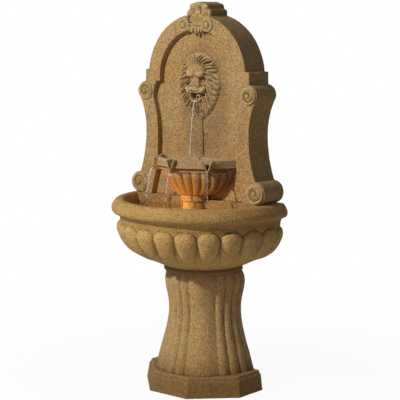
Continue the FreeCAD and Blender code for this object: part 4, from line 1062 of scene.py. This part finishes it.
# Fittings by slot: colour, colour of worn edges, metallic, roughness, scale and depth of the grain, coat
WORKED = {
    "brass": ((0.10, 0.075, 0.040), (0.24, 0.18, 0.09), 1.0, 0.55, 500, 0.0002),
    "steel": ((0.52, 0.52, 0.50), (0.7, 0.7, 0.68), 1.0, 0.3, 700, 0.0001),
    "cover_sheet": ((0.30, 0.22, 0.13), (0.42, 0.33, 0.21), 0.0, 0.5, 350, 0.0006),
    "black_plastic": ((0.022, 0.022, 0.024), (0.10, 0.10, 0.10), 0.0, 0.42, 600, 0.0002),
    "dial_plastic": ((0.05, 0.16, 0.30), (0.18, 0.30, 0.45), 0.0, 0.4, 600, 0.0002),
    "rotor_plastic": ((0.42, 0.40, 0.36), (0.55, 0.53, 0.5), 0.0, 0.4, 600, 0.0002),
    "ceramic_shaft": ((0.72, 0.70, 0.66), (0.8, 0.79, 0.76), 0.0, 0.2, 900, 0.0001, 0.5),
    "rubber": ((0.030, 0.030, 0.030), (0.09, 0.09, 0.085), 0.0, 0.75, 400, 0.0003),
    "lamp_metal": ((0.035, 0.035, 0.035), (0.30, 0.28, 0.24), 0.6, 0.4, 500, 0.0002, 0.3),
    "lamp_board": ((0.70, 0.69, 0.64), (0.45, 0.30, 0.10), 0.0, 0.35, 500, 0.0002),
}
# The hose: tint, refraction, roughness, and scale and depth of its uneven surface
VINYL = ((0.80, 0.86, 0.84), 1.45, 0.25, 90.0, 0.0006)


class FOUNTAIN_OT_fittings(bpy.types.Operator):
    """Pump, lamp, hose, cover and fixings in worn metal, plastic, rubber and glass."""
    bl_idname = "fountain.fittings"
    bl_label = "Fittings"

    def execute(self, context):
        slots = {name: worked_material(name, *look) for name, look in WORKED.items()}
        slots["hose_vinyl"] = clear_material("hose_vinyl", *VINYL)
        slots["lens_glass"] = lens_material()
        for part in frame["record"]["subparts"]:
            if part["material_slot"] == "stone":
                continue
            mesh = frame["nodes"][part["node"]].data
            mesh.materials.clear()
            mesh.materials.append(slots[part["material_slot"]])
        return {"FINISHED"}


# Water

# Refraction, roughness, and scale and depth of the uneven surface; falling water has its tint first
WATER_LOOK = (1.33, 0.03, 55.0, 0.0012)
FALLING_LOOK = ((0.97, 0.985, 0.98), 1.33, 0.02, 160.0, 0.0008)
# Length of a ripple, and how far the ripples reach
RIPPLE_LENGTH = 0.026
RIPPLE_REACH = 0.07
# How far the water reaches into the stone round it, and the lowest places of the two bodies of water
WATER_OVERLAP = 0.002
BASIN_WATER_FLOOR_Z = 0.4765
BOWL_WATER_FLOOR_Z = 0.745
BOWL_WATER_PLAN = ((-0.128, -0.0440), (-0.088, -0.1050), (0.0, -0.1440), (0.088, -0.1050), (0.128, -0.0440))
# Where the streams start and where they fall
MOUTH = (MASK_X, -0.050, SPOUT_Z)
JET_FOOT = (MASK_X, -0.092)
SPILL_TIPS = ((-0.121, -0.137, 0.7640), (0.0, -0.187, 0.7640), (0.121, -0.137, 0.7640))
SPILL_FEET = ((-0.141, -0.158), (0.0, -0.214), (0.141, -0.158))


def ripples(x, y, centres, height):
    """Height of the rings of ripples about the places where the streams fall."""
    total = np.zeros_like(x)
    for cx, cy in centres:
        far = np.hypot(x - cx, y - cy)
        total += np.sin(far * 2 * math.pi / RIPPLE_LENGTH) * np.exp(-far / RIPPLE_REACH)
    total += 0.35 * np.sin(61 * x + 37 * y) + 0.25 * np.sin(-43 * x + 83 * y + 1.0)
    return total * height


def water_body(name, outline, sides, level, centres):
    """A closed body of water: a rippled surface within its outline, and rings of points down its sides."""
    rows = 60
    middle = outline.mean(axis=0)
    top = middle + (outline - middle) * np.linspace(0, 1, rows)[1:, None, None]
    wave = ripples(top[..., 0], top[..., 1], centres, settings().water.ripple)
    return ringed(name, np.concatenate([np.dstack([top, level + wave]), sides]))


class FOUNTAIN_OT_water(bpy.types.Operator):
    """Rippled water in the basin and in the upper bowl."""
    bl_idname = "fountain.water"
    bl_label = "Water"

    def execute(self, context):
        water = settings().water
        clear = clear_material("water", water.tint, *WATER_LOOK)
        heights = np.linspace(water.basin_level - 0.004, BASIN_WATER_FLOOR_Z, 16)
        rings = np.array([self.d_ring(z) for z in heights])
        surface = self.d_ring(water.basin_level)[:, :2]
        basin = water_body("basin_water", surface, rings, water.basin_level, SPILL_FEET)
        plan = np.array(BOWL_WATER_PLAN)
        edge = np.vstack([np.linspace(a, b, 14, endpoint=False)
                          for a, b in zip(plan, np.roll(plan, -1, axis=0))])
        low = edge.mean(axis=0) + (edge - edge.mean(axis=0)) * 0.8
        ring = np.column_stack([low, np.full(len(low), BOWL_WATER_FLOOR_Z)])
        bowl = water_body("bowl_water", edge, ring[None], water.bowl_level, [JET_FOOT])
        for piece in (basin, bowl):
            placed(piece, clear, "lens_glass", STATIC_BODY)
            piece.visible_shadow = False
        return {"FINISHED"}

    def d_ring(self, z):
        """A ring of points at a height, along the pool's round front and back along its rear wall."""
        pool = curve_through(POOL, 3)
        radius = np.interp(z, pool[:, 1], pool[:, 0] + WATER_OVERLAP)
        reach = math.acos(min((BASIN_AXIS_Y - PANEL_FRONT_Y - WATER_OVERLAP) / radius, 1.0))
        share = np.linspace(-1, 1, 150) * reach
        front = np.column_stack([radius * np.sin(share), BASIN_AXIS_Y - radius * np.cos(share)])
        rear = np.linspace(front[-1], front[0], 60)[1:-1]
        flat = np.vstack([front, rear])
        return np.column_stack([flat, np.full(len(flat), z)])


# A stream: points along it and round it, how far it thins, and its number of drops
STREAM_STEPS = 60
STREAM_SIDES = 10
STREAM_THINNING = 0.30
DROPS = 46


class FOUNTAIN_OT_streams(bpy.types.Operator):
    """The jet from the mouth and the three spills, breaking up into drops."""
    bl_idname = "fountain.streams"
    bl_label = "Streams and drops"

    def execute(self, context):
        water = settings().water
        clear = clear_material("falling_water", *FALLING_LOOK)
        chance = np.random.default_rng(water.seed)
        jet = self.fall(MOUTH, (*JET_FOOT, water.bowl_level))
        self.stream("mouth_jet", jet, water.jet_radius, chance, clear)
        for index, (tip, foot) in enumerate(zip(SPILL_TIPS, SPILL_FEET)):
            path = self.fall(tip, (*foot, water.basin_level))
            self.stream("spill_%d" % index, path, water.spill_radius, chance, clear)
        return {"FINISHED"}

    def fall(self, start, end):
        """Points on the path of falling water."""
        share = np.linspace(0, 1, STREAM_STEPS)[:, None]
        shares = np.hstack([share, share, share ** 2])
        return np.array(start) + (np.array(end) - np.array(start)) * shares

    def stream(self, name, path, radius, chance, material):
        """A beaded thread that thins and breaks into drops."""
        around = np.linspace(0, 2 * math.pi, STREAM_SIDES, endpoint=False)
        share = np.linspace(0, 1, len(path))
        swell = 1 + 0.35 * np.sin(share * 60 + chance.uniform(0, 6)) * share
        width = (radius * (1 - STREAM_THINNING * share) * swell)[:, None]
        sway = np.cumsum(chance.normal(0, 0.00025, (len(path), 2)), axis=0)
        rings = np.stack([(path[:, 0] + sway[:, 0])[:, None] + width * np.cos(around),
                          (path[:, 1] + sway[:, 1])[:, None] + width * np.sin(around),
                          path[:, 2:] + 0.3 * width * np.sin(around)], axis=-1)
        thread = ringed(name, rings)
        drops = bmesh.new()
        drops.from_mesh(thread.data)
        for _ in range(DROPS):
            at = chance.uniform(0.25, 1.0) ** 0.7
            spot = Vector(path[int(at * (len(path) - 1))])
            spread = 0.004 + 0.006 * at
            spot += Vector((chance.normal(0, spread), chance.normal(0, spread), 0))
            size = radius * chance.uniform(0.25, 0.75)
            made = bmesh.ops.create_icosphere(drops, subdivisions=2, radius=size)
            for vert in made["verts"]:
                vert.co.z *= 1.5
                vert.co += spot
        drops.to_mesh(thread.data)
        drops.free()
        placed(thread, material, "lens_glass", STATIC_BODY)


# Stage

FLOOR_REACH = 14.0
# Share of plain white in the floor near the fountain, and the distances between which the rest turns white
FLOOR_WHITE = 0.94
FLOOR_FADE = (0.1, 1.6)
# The main light: its colour, what it points at, the way towards it and how far away it is
KEY_COLOUR = (1.0, 0.985, 0.95)
KEY_TARGET = (0, 0, 0.60)
KEY_TOWARDS = (-0.1600, -0.8233, 0.5446)
KEY_AWAY = 2.8
# The lamp's beam: what it points at, its height above the lens and its cone
GLOW_TARGET = (0.0, -0.110, 0.700)
GLOW_LIFT = 0.022
GLOW_CONE = math.radians(104)
# The glow of the water round the lamp: its place, and its share of the lamp's power
HAZE_PLACE = (0.010, -0.185, 0.600)
HAZE_SHARE = 0.28
# The camera: its lens in millimetres, its way round the fountain, distance, shift, height and aim
CAMERA_LENS = 123.06
CAMERA_TURN = math.radians(39.6)
CAMERA_AWAY = 4.6707
CAMERA_SHIFT_Y = 0.010
CAMERA_HEIGHT = 1.3115
CAMERA_AIM = (math.radians(90 - 8.1), 0, math.radians(39.9))


class FOUNTAIN_OT_stage(bpy.types.Operator):
    """Pale floor, soft light and the camera."""
    bl_idname = "fountain.stage"
    bl_label = "Stage"

    def execute(self, context):
        stage = settings().stage
        scene = context.scene
        scene.view_settings.view_transform = "Standard"
        self.floor(stage)
        self.lights(stage)
        self.world(scene, stage)
        self.camera(scene)
        return {"FINISHED"}

    def seen_plainly(self, tree):
        """One for rays that should see the stage as plain white."""
        path = tree.nodes.new("ShaderNodeLightPath").outputs
        both = maths(tree, "MAXIMUM", path["Is Camera Ray"], path["Is Glossy Ray"])
        return maths(tree, "MAXIMUM", both, path["Is Transmission Ray"])

    def floor(self, stage):
        """A pale floor that keeps the shadow and turns white away from the fountain."""
        reach = FLOOR_REACH
        corners = [(-reach, -reach, 0), (reach, -reach, 0), (reach, reach, 0), (-reach, reach, 0)]
        floor = meshed("floor", corners, [(0, 1, 2, 3)])
        made, tree, shader = bare_material("floor")
        fill(tree, shader, Base_Color=(*stage.floor, 1.0), Roughness=0.9, Specular_IOR_Level=0.0)
        white = node(tree, "ShaderNodeEmission", Strength=1.0)
        far = ramp(tree, away(tree, surface_place(tree)), *FLOOR_FADE)
        share = maths(tree, "ADD", times(tree, far, 1 - FLOOR_WHITE), FLOOR_WHITE)
        mix = tree.nodes.new("ShaderNodeMixShader")
        parts = (times(tree, share, self.seen_plainly(tree)), shader.outputs[0], white.outputs[0])
        for place, value in zip(mix.inputs, parts):
            feed(tree, place, value)
        feed(tree, tree.nodes["Material Output"].inputs["Surface"], mix.outputs[0])
        floor.data.materials.append(made)

    def light(self, name, kind, energy, tone, **values):
        """A new light with its settings."""
        made = bpy.data.lights.new(name, kind)
        for key, value in dict(values, energy=energy, color=tone).items():
            setattr(made, key, value)
        return linked(name, made)

    def lights(self, stage):
        """The main light, the lamp's beam and the glow of the water round it."""
        lamp = settings().lamp
        holder = self.light("key_light", "AREA", stage.key, KEY_COLOUR, shape="DISK", size=stage.key_size)
        towards = Vector(KEY_TOWARDS)
        holder.location = Vector(KEY_TARGET) + towards * KEY_AWAY
        holder.rotation_euler = towards.to_track_quat("Z", "Y").to_euler()
        bulb = self.light("lamp_glow", "SPOT", lamp.power, lamp.glow, shadow_soft_size=0.018,
                          spot_size=GLOW_CONE, spot_blend=1.0)
        low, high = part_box("lamp_lens")
        bulb.location = ((low + high) / 2) + Vector((0, 0, GLOW_LIFT))
        bulb.rotation_euler = (bulb.location - Vector(GLOW_TARGET)).to_track_quat("Z", "Y").to_euler()
        cloud = self.light("lamp_haze", "POINT", HAZE_SHARE * lamp.power, lamp.glow, shadow_soft_size=0.03)
        cloud.location = HAZE_PLACE
        for unseen in (bulb, cloud):
            unseen.visible_camera = unseen.visible_glossy = unseen.visible_transmission = False

    def world(self, scene, stage):
        """White to look at, and a soft light from all around."""
        world = bpy.data.worlds.new("studio")
        world.use_nodes = True
        tree = world.node_tree
        plain = times(tree, self.seen_plainly(tree), 1 - stage.ambient)
        power = maths(tree, "ADD", plain, stage.ambient)
        fill(tree, tree.nodes["Background"], Color=(1, 1, 1, 1), Strength=power)
        scene.world = world

    def camera(self, scene):
        """The camera where the photograph was taken from."""
        lens = bpy.data.cameras.new("camera")
        lens.lens = CAMERA_LENS
        lens.clip_end = 60
        holder = linked("camera", lens)
        holder.location = (math.sin(CAMERA_TURN) * CAMERA_AWAY,
                           -math.cos(CAMERA_TURN) * CAMERA_AWAY + CAMERA_SHIFT_Y, CAMERA_HEIGHT)
        holder.rotation_euler = CAMERA_AIM
        scene.camera = holder


class FOUNTAIN_PT_panel(bpy.types.Panel):
    """Buttons for the fountain's pieces."""
    bl_idname = "FOUNTAIN_PT_panel"
    bl_label = "Lion Fountain"
    bl_space_type = "VIEW_3D"
    bl_region_type = "UI"
    bl_category = "Fountain"

    def draw(self, context):
        for operator in OPERATORS:
            self.layout.operator(operator.bl_idname)
        fountain = context.scene.fountain
        for group in (fountain.stone, fountain.water, fountain.lamp, fountain.stage):
            for name in group.__annotations__:
                self.layout.prop(group, name)


OPERATORS = (FOUNTAIN_OT_pedestal, FOUNTAIN_OT_basin, FOUNTAIN_OT_panel, FOUNTAIN_OT_lion, FOUNTAIN_OT_bowl,
             FOUNTAIN_OT_fittings, FOUNTAIN_OT_water, FOUNTAIN_OT_streams, FOUNTAIN_OT_stage)
CLASSES = (StoneSettings, WaterSettings, LampSettings, StageSettings, FountainSettings, *OPERATORS,
           FOUNTAIN_PT_panel)


def register():
    for kind in CLASSES:
        bpy.utils.register_class(kind)
    bpy.types.Scene.fountain = PointerProperty(type=FountainSettings)


def unregister():
    del bpy.types.Scene.fountain
    for kind in reversed(CLASSES):
        bpy.utils.unregister_class(kind)


def main():
    register()
    bpy.ops.fountain.pedestal()
    bpy.ops.fountain.basin()
    bpy.ops.fountain.panel()
    bpy.ops.fountain.lion()
    bpy.ops.fountain.bowl()
    bpy.ops.fountain.fittings()
    bpy.ops.fountain.water()
    bpy.ops.fountain.streams()
    bpy.ops.fountain.stage()


if __name__ == "__main__":
    main()
